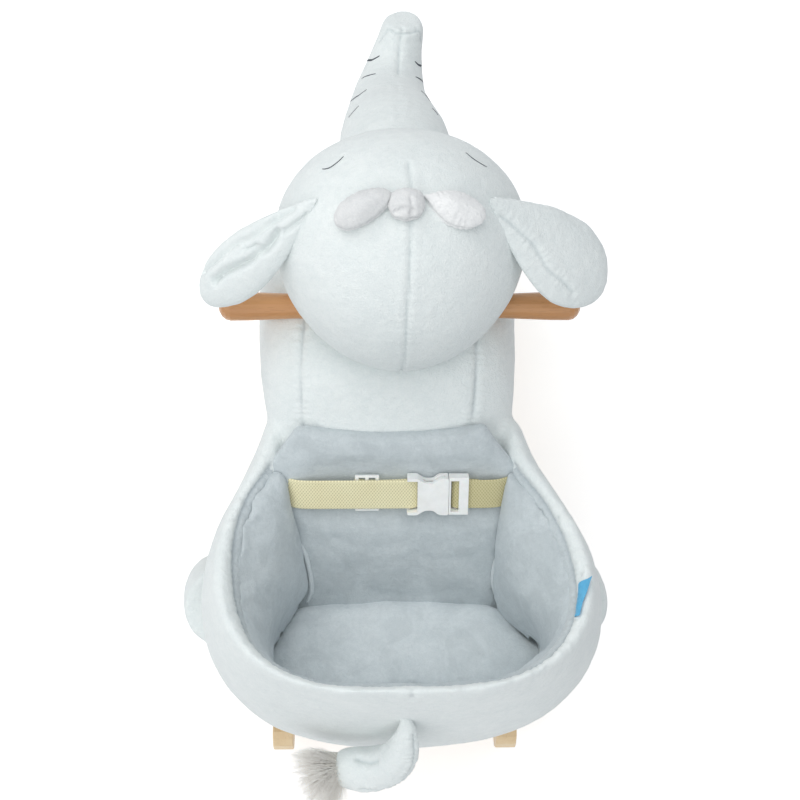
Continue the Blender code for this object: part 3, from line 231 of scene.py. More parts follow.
def ball(name, shape, segments=64, rows=40):
    """A sphere whose unit points are moved by a shape function."""
    form = bmesh.new()
    bmesh.ops.create_uvsphere(form, u_segments=segments, v_segments=rows, radius=1.0)
    for vertex in form.verts:
        vertex.co = shape(vertex.co)
    bmesh.ops.recalc_face_normals(form, faces=form.faces)
    return from_form(name, form)


# Sewing: what happens to a stuffed surface along its seams
def numbers(items, key):
    flat = np.empty(len(items) * 3)
    items.foreach_get(key, flat)
    return flat.reshape(-1, 3)


def coordinates(obj):
    return numbers(obj.data.vertices, "co")


def normals(obj):
    return numbers(obj.data.vertex_normals, "vector")


def set_coordinates(obj, places):
    obj.data.vertices.foreach_set("co", np.ascontiguousarray(places).ravel())
    obj.data.update()
    return obj


def dense(points, gap=0.0006):
    """A seam's points, close enough to measure distances from."""
    line = catmull(points, 12)
    found = [line[0]]
    for a, b in zip(line, line[1:]):
        count = max(1, int((b - a).length / gap))
        found += [a.lerp(b, (k + 1) / count) for k in range(count)]
    return np.array([tuple(p) for p in found])


def even(points, count):
    """The same line with its points at even distances."""
    line = dense(points, 0.001)
    run = np.concatenate(([0.0], np.cumsum(np.linalg.norm(np.diff(line, axis=0), axis=1))))
    wanted = np.linspace(0.0, run[-1], count)
    return [Vector([float(np.interp(w, run, line[:, k])) for k in range(3)]) for w in wanted]


def nearest(places, line, reach):
    """Distance to a seam and how far along it, for the points near it."""
    low, high = line.min(axis=0) - reach, line.max(axis=0) + reach
    near = np.where(np.all((places > low) & (places < high), axis=1))[0]
    away = np.full(len(places), 1.0)
    along = np.zeros(len(places))
    steps = np.linalg.norm(np.diff(line, axis=0), axis=1)
    run = np.concatenate(([0.0], np.cumsum(steps)))
    for start in range(0, len(near), 4000):
        part = near[start:start + 4000]
        gaps = np.linalg.norm(places[part][:, None, :] - line[None, :, :], axis=2)
        best = gaps.argmin(axis=1)
        away[part] = gaps[np.arange(len(part)), best]
        along[part] = run[best]
    return away, along


def keep(obj, name, values):
    """A number for each point of the mesh, under a name."""
    layer = obj.data.attributes.new(name, "FLOAT", "POINT")
    layer.data.foreach_set("value", values)
    return obj


def mark(obj, name, values):
    """Keep a number per point for the material to read."""
    layer = obj.data.attributes.get(name) or obj.data.attributes.new(name, "FLOAT", "POINT")
    old = np.zeros(len(obj.data.vertices))
    layer.data.foreach_get("value", old)
    layer.data.foreach_set("value", np.maximum(old, values).astype(np.float32))


def sew(obj, points, depth=0.0016, width=0.0022, pucker=0.00035, pitch=0.006, seed=0.0):
    """Draw the surface in along a seam, with the small tucks beside it, and mark its groove for
    painted shade.
    """
    places, out = coordinates(obj), normals(obj)
    away, along = nearest(places, dense(points), 0.03)
    groove = np.exp(-(away / width) ** 2)
    puff = np.exp(-((away - 3.2 * width) / (1.6 * width)) ** 2)
    wave = np.sin(2 * pi * along / pitch + 2.1 * np.sin(along / pitch * 1.7 + seed) + seed)
    tuck = np.exp(-((away - 0.003) / 0.005) ** 2) * wave
    move = -depth * groove + 0.22 * depth * puff + pucker * tuck
    set_coordinates(obj, places + out * move[:, None])
    # the seam mark is where the material paints shade into the groove
    mark(obj, "seam", np.exp(-(away / (0.6 * width)) ** 2))
    return obj


def settle(obj, coarse=0.0007, fine=0.00022, size=0.028, seed=0.0):
    """The uneven filling below the cloth."""
    places, out = coordinates(obj), normals(obj)
    shift = Vector((seed, seed * 0.7, -seed))
    move = np.array([coarse * noise.noise(Vector(p) / size + shift)
                     + fine * noise.noise(Vector(p) / (size * 0.28) + shift)
                     for p in places])
    return set_coordinates(obj, places + out * move[:, None])


def stuffed(obj, voxel, smooth, *filling, swell=None, **more):
    """Even the cover's mesh, swell it, and lay the uneven filling below it."""
    remesh(obj, voxel, smooth)
    if swell:
        inflate(obj, *swell)
    return settle(subdivide(obj, 1), *filling, **more)


def mark_line(obj, line, width):
    """Paint shade into the cloth along a fold."""
    away, _ = nearest(coordinates(obj), dense(line), 4 * width)
    mark(obj, "seam", np.exp(-(away / width) ** 2))


def ditch(obj, line, depth, width):
    """A soft dent along a line of points."""
    places, out = coordinates(obj), normals(obj)
    away, _ = nearest(places, dense(line), 3 * width)
    return set_coordinates(obj, places - out * (depth * np.exp(-(away / width) ** 2))[:, None])


# Materials
class Nodes:
    """A Principled material and the nodes that drive its sockets."""

    def __init__(self, name, roughness, metallic=0.0, specular=0.5, **sockets):
        self.material = bpy.data.materials.new(name)
        self.material.use_nodes = True
        self.tree = self.material.node_tree
        self.shader = self.tree.nodes["Principled BSDF"]
        self.shader.inputs["Roughness"].default_value = roughness
        self.shader.inputs["Metallic"].default_value = metallic
        self.shader.inputs["Specular IOR Level"].default_value = specular
        for key, value in sockets.items():
            self.shader.inputs[key.replace("_", " ")].default_value = value
        self.place = self.add("ShaderNodeTexCoord").outputs["Object"]

    def add(self, kind, inputs=None, **settings):
        made = self.tree.nodes.new(kind)
        for key, value in settings.items():
            setattr(made, key, value)
        for key, value in (inputs or {}).items():
            slot = made.inputs[key]
            if isinstance(value, bpy.types.NodeSocket):
                self.join(value, slot)
            else:
                slot.default_value = (*value, 1.0) if slot.type == "RGBA" else value
        return made

    def join(self, source, target):
        self.tree.links.new(source, target)

    def mapped(self, scale):
        return self.add("ShaderNodeMapping", {"Scale": scale, "Vector": self.place}).outputs[0]

    def noise(self, scale, detail=2.0, roughness=0.5, distortion=0.0, vector=None):
        return self.add("ShaderNodeTexNoise", {
            "Scale": scale, "Detail": detail, "Roughness": roughness, "Distortion": distortion,
            "Vector": vector or self.place}).outputs["Fac"]

    def wave(self, scale, vector, direction):
        return self.add("ShaderNodeTexWave", {"Scale": scale, "Detail": 0.0, "Vector": vector},
                        bands_direction=direction).outputs["Fac"]

    def math(self, operation, a, b=0.0):
        return self.add("ShaderNodeMath", {0: a, 1: b}, operation=operation).outputs[0]

    def blend(self, *shares):
        """The sum of several values, each times its share."""
        total = 0.0
        for value, share in shares:
            total = self.math("ADD", total, self.math("MULTIPLY", value, share))
        return total

    def ramp(self, source, stops):
        made = self.add("ShaderNodeValToRGB")
        points = made.color_ramp.elements
        while len(points) < len(stops):
            points.new(0.5)
        for element, (position, colour) in zip(points, stops):
            element.position = position
            element.color = (*colour, 1.0)
        self.join(source, made.inputs["Fac"])
        return made.outputs["Color"]

    def mix(self, factor, a, b, blend="MIX"):
        return self.add("ShaderNodeMix", {0: factor, 6: a, 7: b}, data_type="RGBA",
                        blend_type=blend, clamp_factor=True).outputs[2]

    def attribute(self, name):
        return self.add("ShaderNodeAttribute", attribute_name=name).outputs["Fac"]

    def bump(self, height, distance, strength=1.0):
        made = self.add("ShaderNodeBump", {"Strength": strength, "Distance": distance,
                                           "Height": height})
        self.join(made.outputs["Normal"], self.shader.inputs["Normal"])

    def colour(self, source):
        self.join(source, self.shader.inputs["Base Color"])
        return self


def plush_material(name, light, dark, seam, pile=PLUSH_PILE, tint=(1.0, 1.0, 1.0, 1.0),
                   nap=False, inside=None):
    """Short clipped pile: clumps of fibres, brushed patches, painted shade in the seams and folds.
    """
    made = Nodes(name, 0.92, specular=0.15, Sheen_Weight=0.35, Sheen_Roughness=0.55,
                 Sheen_Tint=tint)
    fibres = made.noise(1.0 / pile, 3.0, 0.65)
    clumps = made.noise(0.22 / pile, 2.0, 0.55, 0.6)
    patches = made.noise(26.0, 2.0, 0.5, 0.8)
    shade = made.blend((fibres, 0.40), (clumps, 0.32), (patches, 0.28))
    base = made.ramp(shade, [(0.34, dark), (0.62, light)])
    if inside:
        base = made.mix(made.math("GREATER_THAN", made.attribute("lining"), 0.0), base,
                        made.ramp(shade, [(0.34, inside[1]), (0.62, inside[0])]))
    if nap:
        brushed = made.noise(34.0, 3.0, 0.62, 1.4)
        base = made.mix(made.ramp(brushed, [(0.44, (0.0, 0.0, 0.0)), (0.62, (0.28, 0.28, 0.28))]),
                        base, tuple(0.80 * c for c in dark))
    # painted shade: the seam colour darkens the seam grooves and the folds marked on the cloth
    base = made.mix(made.math("MULTIPLY", made.attribute("seam"), 0.55), base, seam)
    made.bump(made.blend((fibres, 0.55), (clumps, 0.75)), pile * 1.1, 0.8)
    return made.colour(base).material


def wood_material(name, light, dark, along, fleck=0.5, roughness=0.42, coat=0.25):
    """Beech: soft bands along the board, short dark ray flecks, a thin lacquer."""
    made = Nodes(name, roughness, specular=0.45, Coat_Weight=coat, Coat_Roughness=0.25)
    bands, flecks, pores = [
        made.noise(1.0, *noisy, made.mapped([lengthwise if k == along else across
                                             for k in range(3)]))
        for across, lengthwise, noisy in ((60.0, 4.0, (4.0, 0.55, 0.5)),
                                          (900.0, 120.0, (1.0, 0.4, 0.0)),
                                          (2600.0, 60.0, (2.0, 0.6, 0.0)))]
    base = made.ramp(bands, [(0.30, dark), (0.70, light)])
    spots = made.ramp(flecks, [(0.60, (0.0, 0.0, 0.0)), (0.72, (1.0, 1.0, 1.0))])
    base = made.mix(made.math("MULTIPLY", spots, fleck * 0.35), base,
                    tuple(0.62 * c for c in dark))
    base = made.mix(made.math("MULTIPLY", pores, 0.18), base, tuple(0.7 * c for c in dark))
    made.bump(made.blend((pores, 1.0), (bands, 0.5)), 0.00012, 0.5)
    return made.colour(base).material


# The third colour of each plush and velvet is painted shade for its seams and folds
MINT = ((0.830, 0.870, 0.858), (0.735, 0.788, 0.785))
PLUSH = plush_material("plush_mint_white", *MINT, (0.52, 0.59, 0.60))
PLUSH_TUB = plush_material("plush_mint_white_tub", *MINT, (0.30, 0.35, 0.38),
                           inside=((0.600, 0.650, 0.665), (0.480, 0.535, 0.555)))
HAIR = plush_material("plush_hair", (0.79, 0.795, 0.79), (0.66, 0.675, 0.68), (0.5, 0.52, 0.53))
HAIR_WHITE = plush_material("plush_hair_white", (0.88, 0.885, 0.88), (0.77, 0.78, 0.78),
                            (0.6, 0.62, 0.62))
VELVET = plush_material("velvet_grey", (0.605, 0.655, 0.670), (0.485, 0.540, 0.560),
                        (0.26, 0.31, 0.34), VELVET_PILE, COOL, True)
# The seat's velvet is the lining's cloth painted lighter: painted light on the seat, which faces up
# to the lamps
VELVET_SEAT_LIT = plush_material("velvet_seat_lit", (0.760, 0.810, 0.825), (0.630, 0.690, 0.710),
                             (0.34, 0.39, 0.42), VELVET_PILE, COOL, True)
# The lining's velvet painted lighter: painted light on the soft edges in the slits
VELVET_EDGE_LIT = plush_material("velvet_edge_lit", (0.68, 0.73, 0.745), (0.58, 0.635, 0.655),
                             (0.35, 0.40, 0.43), VELVET_PILE)
BEECH_Y, BEECH_X, BEECH_Z = [
    wood_material("beech_along_" + axis, (0.87, 0.69, 0.44), (0.77, 0.56, 0.31), along)
    for axis, along in (("y", 1), ("x", 0), ("z", 2))]
HANDLE = wood_material("beech_handle", (0.64, 0.33, 0.135), (0.51, 0.235, 0.085), 0, 0.7, 0.38, 0.35)


def hard_material(name, grain, patch, rough, spread, depth, strength, dark, light, **sockets):
    """Metal or plastic: fine grain, and patches of more and less gloss."""
    made = Nodes(name, 0.35, **sockets)
    grain = made.noise(grain, 2.0, 0.5)
    patches = made.noise(*patch)
    made.join(made.math("ADD", made.math("MULTIPLY", patches, spread), rough),
              made.shader.inputs["Roughness"])
    made.bump(grain, depth, strength)
    return made.colour(made.ramp(patches, [(0.3, dark), (0.7, light)])).material


def plywood_material():
    made = Nodes("plywood", 0.55, specular=0.35)
    layers = made.wave(0.5, made.mapped((0.0, 0.0, 1000.0)), "Z")
    grain = made.noise(1.0, 4.0, 0.6, 0.8, made.mapped((50.0, 5.0, 300.0)))
    base = made.ramp(grain, [(0.3, (0.55, 0.38, 0.20)), (0.7, (0.72, 0.55, 0.34))])
    base = made.mix(made.math("MULTIPLY", layers, 0.35), base, (0.42, 0.27, 0.14))
    made.bump(grain, 0.0002, 0.5)
    return made.colour(base).material


def webbing_material(name, low, high):
    """Twisted yarns: painted light on the raised picks, painted shade between them."""
    made = Nodes(name, 0.78, specular=0.25, Sheen_Weight=0.25)
    yarn = made.noise(3000.0, 2.0, 0.6)
    patches = made.noise(60.0, 2.0, 0.5)
    # painted shade in the hollows between picks and painted light on the picks, read from the
    # weave's height
    base = made.ramp(made.attribute("weave"), [(0.10, low), (0.60, high)])
    base = made.mix(made.math("MULTIPLY", patches, 0.30), base, (0.78, 0.62, 0.42), "MULTIPLY")
    base = made.mix(made.math("MULTIPLY", yarn, 0.22), base, (0.80, 0.78, 0.58))
    made.bump(yarn, 0.00012, 0.7)
    return made.colour(base).material


def fur_material(root, tip):
    made = Nodes("tuft_fur", 0.72, specular=0.25, Sheen_Weight=0.3)
    tone = made.blend((made.attribute("along"), 0.85), (made.noise(700.0), 0.20))
    return made.colour(made.ramp(tone, [(0.20, root), (0.85, tip)])).material


def thread_material():
    made = Nodes("thread_charcoal", 0.6, specular=0.3, Sheen_Weight=0.3)
    twist = made.noise(2600.0, 2.0, 0.5)
    made.bump(twist, 0.0001, 0.8)
    return made.colour(made.ramp(twist, [(0.35, (0.02, 0.03, 0.04)),
                                         (0.65, (0.055, 0.07, 0.09))])).material


def tape_material():
    """Satin ribbon: fine ribs across, a plain blue."""
    made = Nodes("blue_tape", 0.45, specular=0.45, Sheen_Weight=0.2)
    ribs = made.wave(260.0, made.mapped((0.0, 1.0, 0.0)), "Y")
    wear = made.noise(300.0, 2.0, 0.5)
    made.bump(ribs, 0.0001, 0.6)
    base = made.ramp(wear, [(0.3, (0.075, 0.375, 0.640)), (0.7, (0.115, 0.455, 0.720))])
    return made.colour(base).material


# One webbing in two copies: painted light on the left strap, painted shade on the right strap, which
# the right wall shades
WEBBING_LIT = webbing_material("webbing_khaki", (0.52, 0.48, 0.26), (0.89, 0.85, 0.58))
WEBBING_SHADED = webbing_material("webbing_khaki_shaded", (0.36, 0.33, 0.14), (0.62, 0.575, 0.33))
FUR = fur_material((0.88, 0.83, 0.75), (0.99, 0.975, 0.94))
FUR_ROOT = plush_material("tuft_root", (0.80, 0.77, 0.71), (0.64, 0.61, 0.55), (0.45, 0.42, 0.38))
TAPE = tape_material()
STEEL = hard_material("zinc_steel", 1400.0, (90.0, 2.0, 0.5), 0.22, 0.25, 0.00004, 0.4,
                      (0.55, 0.56, 0.57), (0.68, 0.69, 0.69), metallic=1.0)
PLASTIC = hard_material("white_plastic", 2200.0, (160.0, 3.0, 0.6), 0.26, 0.22, 0.00005, 0.35,
                        (0.86, 0.87, 0.85), (0.92, 0.93, 0.915), Subsurface_Weight=0.06,
                        Subsurface_Scale=0.002)
PLYWOOD = plywood_material()
THREAD = thread_material()
FOAM = plush_material("foam_block", (0.80, 0.78, 0.66), (0.66, 0.63, 0.50), (0.4, 0.4, 0.3), 0.0009)


def cover(obj, material):
    obj.data.materials.clear()
    obj.data.materials.append(material)


def finish_piece(obj, material, body, slot, *replaced, fill=None):
    """Give a piece its material and body, and hide the solids it stands for; the slot is not used.
    """
    cover(obj, material)
    obj.data.shade_smooth()
    if body:
        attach(obj, body)
    if replaced:
        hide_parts(*replaced)
    return obj


def inflate(obj, pressure, cap):
    """Let the cover swell under its filling, and keep how far it may move."""
    rest = coordinates(obj)
    cloth = obj.modifiers.new("filling", "CLOTH")
    settings = cloth.settings
    for key, value in (("quality", 6), ("mass", 0.15), ("tension_stiffness", 20),
                       ("compression_stiffness", 20), ("shear_stiffness", 8),
                       ("bending_stiffness", 0.4), ("use_pressure", True),
                       ("uniform_pressure_force", pressure)):
        setattr(settings, key, value)
    settings.effector_weights.gravity = 0
    cloth.collision_settings.use_collision = False
    cloth.collision_settings.use_self_collision = False
    scene = bpy.context.scene
    for step in range(1, 21):
        scene.frame_set(step)
    graph = bpy.context.evaluated_depsgraph_get()
    moved = numbers(obj.evaluated_get(graph).to_mesh().vertices, "co") - rest
    reach = np.linalg.norm(moved, axis=1)
    scale = np.minimum(1.0, cap / np.maximum(reach, 1e-9))
    obj.evaluated_get(graph).to_mesh_clear()
    obj.modifiers.clear()
    scene.frame_set(1)
    return set_coordinates(obj, rest + moved * scale[:, None])


# Seat tub
GAP = 0.0003
LINING_THICK = 0.006
TUB_BOTTOM_Z = 0.147
PAN_LOW_Z = 0.2283
STATIONS = (
    ((0.0000, -0.2430), (0.0000, -0.2460, 0.310), (0.0000, -0.2510, 0.384),
     (0.0000, -0.2680, 0.386), (0.0000, -0.2790), (0.0000, -0.2740), (0.0000, -0.2630)),
    ((0.0600, -0.2405), (0.0610, -0.2440, 0.308), (0.0620, -0.2475, 0.380),
     (0.0700, -0.2650, 0.382), (0.0780, -0.2740), (0.0770, -0.2690), (0.0750, -0.2570)),
    ((0.0960, -0.2230), (0.0980, -0.2230, 0.303), (0.1000, -0.2200, 0.368),
     (0.1160, -0.2380, 0.370), (0.1280, -0.2490), (0.1260, -0.2440), (0.1200, -0.2350)),
    ((0.1000, -0.1920), (0.1000, -0.1900, 0.290), (0.1130, -0.1830, 0.356),
     (0.1390, -0.1960, 0.358), (0.1560, -0.2040), (0.1530, -0.2010), (0.1440, -0.1950)),
    ((0.0840, -0.1640), (0.0760, -0.1600, 0.277), (0.1120, -0.1470, 0.345),
     (0.1410, -0.1490, 0.347), (0.1580, -0.1510), (0.1540, -0.1500), (0.1430, -0.1480)),
    ((0.0760, -0.1340), (0.0655, -0.1330, 0.283), (0.1000, -0.1120, 0.338),
     (0.1230, -0.1080, 0.340), (0.1360, -0.1060), (0.1320, -0.1050), (0.1230, -0.1040)),
    ((0.0740, -0.0960), (0.0740, -0.1020, 0.306), (0.0850, -0.0880, 0.340),
     (0.1020, -0.0760, 0.342), (0.1100, -0.0700), (0.1080, -0.0680), (0.1040, -0.0660)),
    ((0.0720, -0.0600), (0.0740, -0.0660, 0.310), (0.0780, -0.0560, 0.336),
     (0.0930, -0.0360, 0.338), (0.1010, -0.0300), (0.0960, -0.0330), (0.0920, -0.0330)),
)


def leaning(point):
    """The tub's front leans to the left, and its right rear corner is fuller."""
    x, y = point[:2]
    lean = -0.005 * min(1.0, max(0.0, (y + 0.145) / 0.06))
    full = 0.005 * min(1.0, max(0.0, (x - 0.09) / 0.03)) * min(1.0, max(0.0, (-0.15 - y) / 0.04))
    return (x + lean + full, y - full * 0.3, *point[2:])


def whole_tub(half):
    left = [[(-p[0], *p[1:]) for p in station] for station in half[:0:-1]]
    return [[leaning(p) for p in station] for station in left + list(half)]


def finer(rings):
    """Loft rings with a smooth one added between each two."""
    lines = []
    for k in range(len(rings[0])):
        line = [Vector(ring[k]) for ring in rings]
        if 4 <= k:
            line = [line[0]] + [b + (a - 2 * b + c) / 5 for a, b, c in
                                zip(line, line[1:], line[2:])] + [line[-1]]
        lines.append(catmull(line, 2))
    return [[tuple(line[i]) for line in lines] for i in range(len(lines[0]))]


def tub_ring(station):
    """One cross-section of the wall, from the seat's foot over the rim and down outside."""
    foot, swell, rim_in, rim_out, wide, low, under = [Vector(p) for p in station]
    out = (rim_out.xy - rim_in.xy).normalized() * LINING_THICK
    foot += out
    swell += Vector((out.x, out.y, 0.0))
    rim_in += Vector((out.x, out.y, 0.0)) * 0.7
    rise = 0.016 - 0.011 * min(1.0, max(0.0, (rim_in.y + 0.125) / 0.05))
    crest = ((rim_in.x * 0.4 + rim_out.x * 0.6), (rim_in.y * 0.4 + rim_out.y * 0.6),
             max(rim_in.z, rim_out.z) + rise)
    return [(foot.x, foot.y, TUB_BOTTOM_Z), tuple(swell), tuple(rim_in), crest,
            tuple(rim_out), (wide.x, wide.y, 0.290), (low.x, low.y, 0.200),
            (under.x, under.y, TUB_BOTTOM_Z)]


def leg_hole(side, sign):
    rings = []
    for x, y in ((0.0640, -0.128), (0.2100, -0.090)):
        ring = []
        for k in range(40):
            c, s = cos(2 * pi * k / 40), sin(2 * pi * k / 40)
            ring.append((sign * x, y + 0.047 * copysign(abs(c) ** 0.7, c),
                         0.234 + 0.045 * copysign(abs(s) ** 0.8, s)))
        rings.append(ring)
    return ring_loft("leg_hole_" + side, rings)


# Neck
NECK_LEVELS = (
    (0.1623, 0.064, 0.068, 0.086, -0.156, 0.164),
    (0.196, 0.057, 0.061, 0.093, -0.160, 0.176),
    (0.235, 0.057, 0.061, 0.093, -0.160, 0.176),
    (0.285, 0.066, 0.082, 0.098, -0.122, 0.160),
    (0.325, 0.078, 0.099, 0.1015, -0.086, 0.146),
    (0.358, 0.070, 0.095, 0.098, -0.056, 0.130),
    (0.385, 0.056, 0.074, 0.082, -0.030, 0.112),
)


def neck_shift(z):
    """How far the neck leans to the left at a height."""
    return -0.0105 * min(1.0, max(0.0, (z - 0.27) / 0.07))


def neck_ring(level):
    z, corner, half_rear, half_front, rear, front = level
    middle = (rear + front) / 2
    right = [(corner * 0.50, rear), (corner, rear + 0.006), (half_rear, rear + 0.038),
             (half_front, middle), (half_front, front - 0.045),
             (half_front * 0.55, front - 0.002)]
    left = [(-x, y) for x, y in reversed(right)]
    return [(x + neck_shift(z), y, z) for x, y in right + left]


# The cover of the tub and the neck is one sewn piece
body = subdivide(ring_loft("plush_body", finer([tub_ring(s) for s in whole_tub(STATIONS)])), 2)
for side, sign in SIDES:
    carve(body, leg_hole(side, sign))
neck = subdivide(ring_loft("neck", [neck_ring(level) for level in NECK_LEVELS]), 3)
join(body, neck)
stuffed(body, PLUSH_VOXEL, 10, seed=1.0)
EDGE_LEFT = ((-0.0430, -0.2490, 0.379), (-0.0800, -0.2400, 0.3735), (-0.0950, -0.2290, 0.3690),
             (-0.1080, -0.2030, 0.3590), (-0.1180, -0.1699, 0.3530), (-0.1202, -0.1404, 0.3510),
             (-0.1111, -0.1052, 0.3460), (-0.0958, -0.0833, 0.3415))
EDGE_RIGHT = ((0.0516, -0.2455, 0.380), (0.0950, -0.2370, 0.3770), (0.1130, -0.2110, 0.3680),
              (0.1193, -0.1699, 0.3540), (0.1156, -0.1441, 0.3490), (0.1030, -0.1121, 0.3440),
              (0.0834, -0.0824, 0.3395))
EDGE = EDGE_LEFT[::-1] + ((0.0047, -0.2540, 0.382),) + EDGE_RIGHT
sew(body, [(0.004, -0.262, 0.392), (0.0045, -0.275, 0.370), (0.0050, -0.280, 0.330),
           (0.0050, -0.280, 0.280), (0.0050, -0.276, 0.220), (0.0050, -0.266, 0.160)],
    0.0013, 0.0020)
sew(body, [(-0.0715, 0.030, 0.386), (-0.0724, 0.0056, 0.3811), (-0.0738, -0.0129, 0.377),
           (-0.0739, -0.0365, 0.3661), (-0.0728, -0.0545, 0.3507), (-0.0761, -0.0625, 0.3594)],
    0.0015, 0.0020, seed=2.0)
sew(body, [(0.0570, 0.020, 0.384), (0.0565, -0.0051, 0.3772), (0.0563, -0.0266, 0.3705),
           (0.055, -0.0427, 0.3607), (0.0539, -0.0559, 0.349), (0.0618, -0.0607, 0.3615)],
    0.0015, 0.0020, seed=3.0)
rim_edge = laid(body, even(EDGE, 65))
for _ in range(3):
    rim_edge[1:-1] = [(a + 2 * b + c) / 4 for a, b, c in zip(rim_edge, rim_edge[1:], rim_edge[2:])]
rim_edge = laid(body, rim_edge)
sew(body, rim_edge, 0.0018, 0.0026, 0.0004, seed=5.0)
for line in (((0.1114, -0.1265, 0.3481), (0.128, -0.13, 0.344)),
             ((0.1247, -0.172, 0.3618), (0.1345, -0.1765, 0.3562))):
    sew(body, line, 0.0012, 0.0016, 0.0003)
finish_piece(body, PLUSH_TUB, "base", "plush_white", "body", "neck", fill=0.9)

# Velvet inside of the tub: two puffed wings joined behind the seat
FOOT_LEFT = ((-0.060, -0.2400, 0.238), (-0.0970, -0.2270, 0.238), (-0.1010, -0.2080, 0.242),
             (-0.0950, -0.1940, 0.247), (-0.0775, -0.1686, 0.2500), (-0.0686, -0.1574, 0.2620),
             (-0.0742, -0.1329, 0.2872), (-0.0818, -0.1090, 0.3132), (-0.0857, -0.0904, 0.3335),
             (-0.0930, -0.0840, 0.3380))
FOOT_RIGHT = ((0.060, -0.2400, 0.238), (0.0980, -0.2270, 0.238), (0.1130, -0.2080, 0.244),
              (0.1015, -0.1962, 0.252), (0.0772, -0.1719, 0.2480), (0.0722, -0.1519, 0.2665),
              (0.0727, -0.1305, 0.2898), (0.0760, -0.1120, 0.3080), (0.0773, -0.1037, 0.3190),
              (0.0815, -0.0860, 0.3370))


WING_PUFF, WING_MORE_PUFF = 0.002, 0.012        # at the seat's back, and added at the front
WING_THIN, WING_FULL = 0.0022, 0.0060
LINING_REACH = 0.03         # how far from the rim the tub is painted as lining
FAR_OUTSIDE = -0.02


def wing_rings():
    count, rows = len(rim_edge), 9
    rings = []
    for k, (top, foot) in enumerate(zip(rim_edge, wing_foot)):
        share = abs(k - (count - 1) / 2) / ((count - 1) / 2)
        along = rim_edge[min(k + 1, count - 1)] - rim_edge[max(k - 1, 0)]
        facing = (foot - top).cross(along).normalized()
        if facing.dot(Vector((0.0, -0.16, 0.34)) - top) < 0:
            facing = -facing
        puff = WING_PUFF + WING_MORE_PUFF * share ** 1.5
        puff *= min(1.0, (foot - top).length / 0.05)
        top = top + (foot - top).normalized() * 0.0050
        face, rear = [], []
        for row in range(rows):
            v = row / (rows - 1)
            swell = sin(pi * v) ** 0.75
            thick = WING_THIN + WING_FULL * swell
            place = top.lerp(foot, v) + facing * (puff * swell)
            skin, out, _, _ = tub_tree.find_nearest(place)
            short = -0.0012 + 0.0030 * min(1.0, v / 0.12) - (place - skin).dot(out)
            if row == 0 or (v < 0.8 and short > 0):
                place += out * short
            face.append(place)
            rear.append(place - facing * thick)
        rings.append(face + rear[::-1])
    return rings


tub_tree = BVHTree.FromObject(body, bpy.context.evaluated_depsgraph_get())
wing_foot = even(FOOT_LEFT[::-1] + ((0.0, -0.2430, 0.240),) + FOOT_RIGHT, len(rim_edge))
lining = ring_loft("velvet_lining", wing_rings())
stuffed(lining, 0.0024, 3, 0.0007, 0.0002, 0.024, 4.0, swell=(2.5, 0.003))
seam_line = even(rim_edge, 4 * len(rim_edge))
foot_line = even(wing_foot, len(seam_line))
seam_points = np.array([list(q) for q in seam_line])
inward = np.array([list((b - a).normalized()) for a, b in zip(seam_line, foot_line)])
past = np.full(len(body.data.vertices), FAR_OUTSIDE)
for k, spot in enumerate(coordinates(body)):
    gaps = spot - seam_points
    best = int(np.argmin((gaps * gaps).sum(axis=1)))
    if 0 < best < len(seam_points) - 1 and gaps[best] @ gaps[best] < LINING_REACH ** 2:
        level = inward[best][:2] / np.linalg.norm(inward[best][:2])
        past[k] = max(FAR_OUTSIDE, min(float(gaps[best] @ inward[best]),
                                       float(gaps[best][:2] @ level) + 0.0015))
keep(body, "lining", past)
finish_piece(lining, VELVET, "base", "velvet_grey", "seat_lining", fill=0.7)

# The belt's own frame: along the webbing, up the front wall, off the wall
BELT = Matrix(((1, 0, 0, 0), (0, 0.67633, -0.73660, -0.1021),
               (0, 0.73660, 0.67633, 0.3289), (0, 0, 0, 1)))


def press(obj, reach_x=(-0.058, 0.066), half=0.0130, depth=-0.0068, fade=0.022):
    """Push the padding back where the belt and its buckle lie on it."""
    to_belt = np.array(BELT.inverted())
    places = coordinates(obj)
    local = places @ to_belt[:3, :3].T + to_belt[:3, 3]
    beside = np.maximum(0.0, np.maximum(reach_x[0] - local[:, 0], local[:, 0] - reach_x[1]))
    above = np.maximum(0.0, np.abs(local[:, 1]) - half)
    far = np.minimum(1.0, np.hypot(beside, above) / fade)
    share = 1.0 - far * far * (3 - 2 * far)
    drop = np.where(local[:, 2] > -0.015, np.minimum(0.0, depth - local[:, 2]) * share, 0.0)
    return set_coordinates(obj, places + drop[:, None] * np.array(BELT)[None, :3, 2])


# Front wall's padded panel
WALL_LOW, WALL_TOP = Vector((-0.163, 0.250)), Vector((-0.062, 0.360))
WALL_UP = (WALL_TOP - WALL_LOW).normalized()
PANEL = (           # X and distance up the wall, round the panel
    (-0.0640, -0.020), (-0.0795, -0.012), (-0.0890, 0.040), (-0.0955, 0.090), (-0.0982, 0.1155),
    (-0.0978, 0.1170), (-0.0870, 0.1335), (-0.0765, 0.1485), (-0.0750, 0.1492),
    (-0.0450, 0.1470), (-0.0079, 0.1455), (0.0300, 0.1472), (0.0610, 0.1505), (0.0626, 0.1495),
    (0.0730, 0.1350), (0.0858, 0.1175), (0.0862, 0.1155), (0.0845, 0.090), (0.0820, 0.040),
    (0.0770, -0.012), (0.0620, -0.020))


def wall_place(x, up, off):
    """A point of the front wall: across, up along it, and off it."""
    y, z = WALL_LOW + WALL_UP * up + Vector((-WALL_UP.y, WALL_UP.x)) * off
    return Vector((x, y, z))


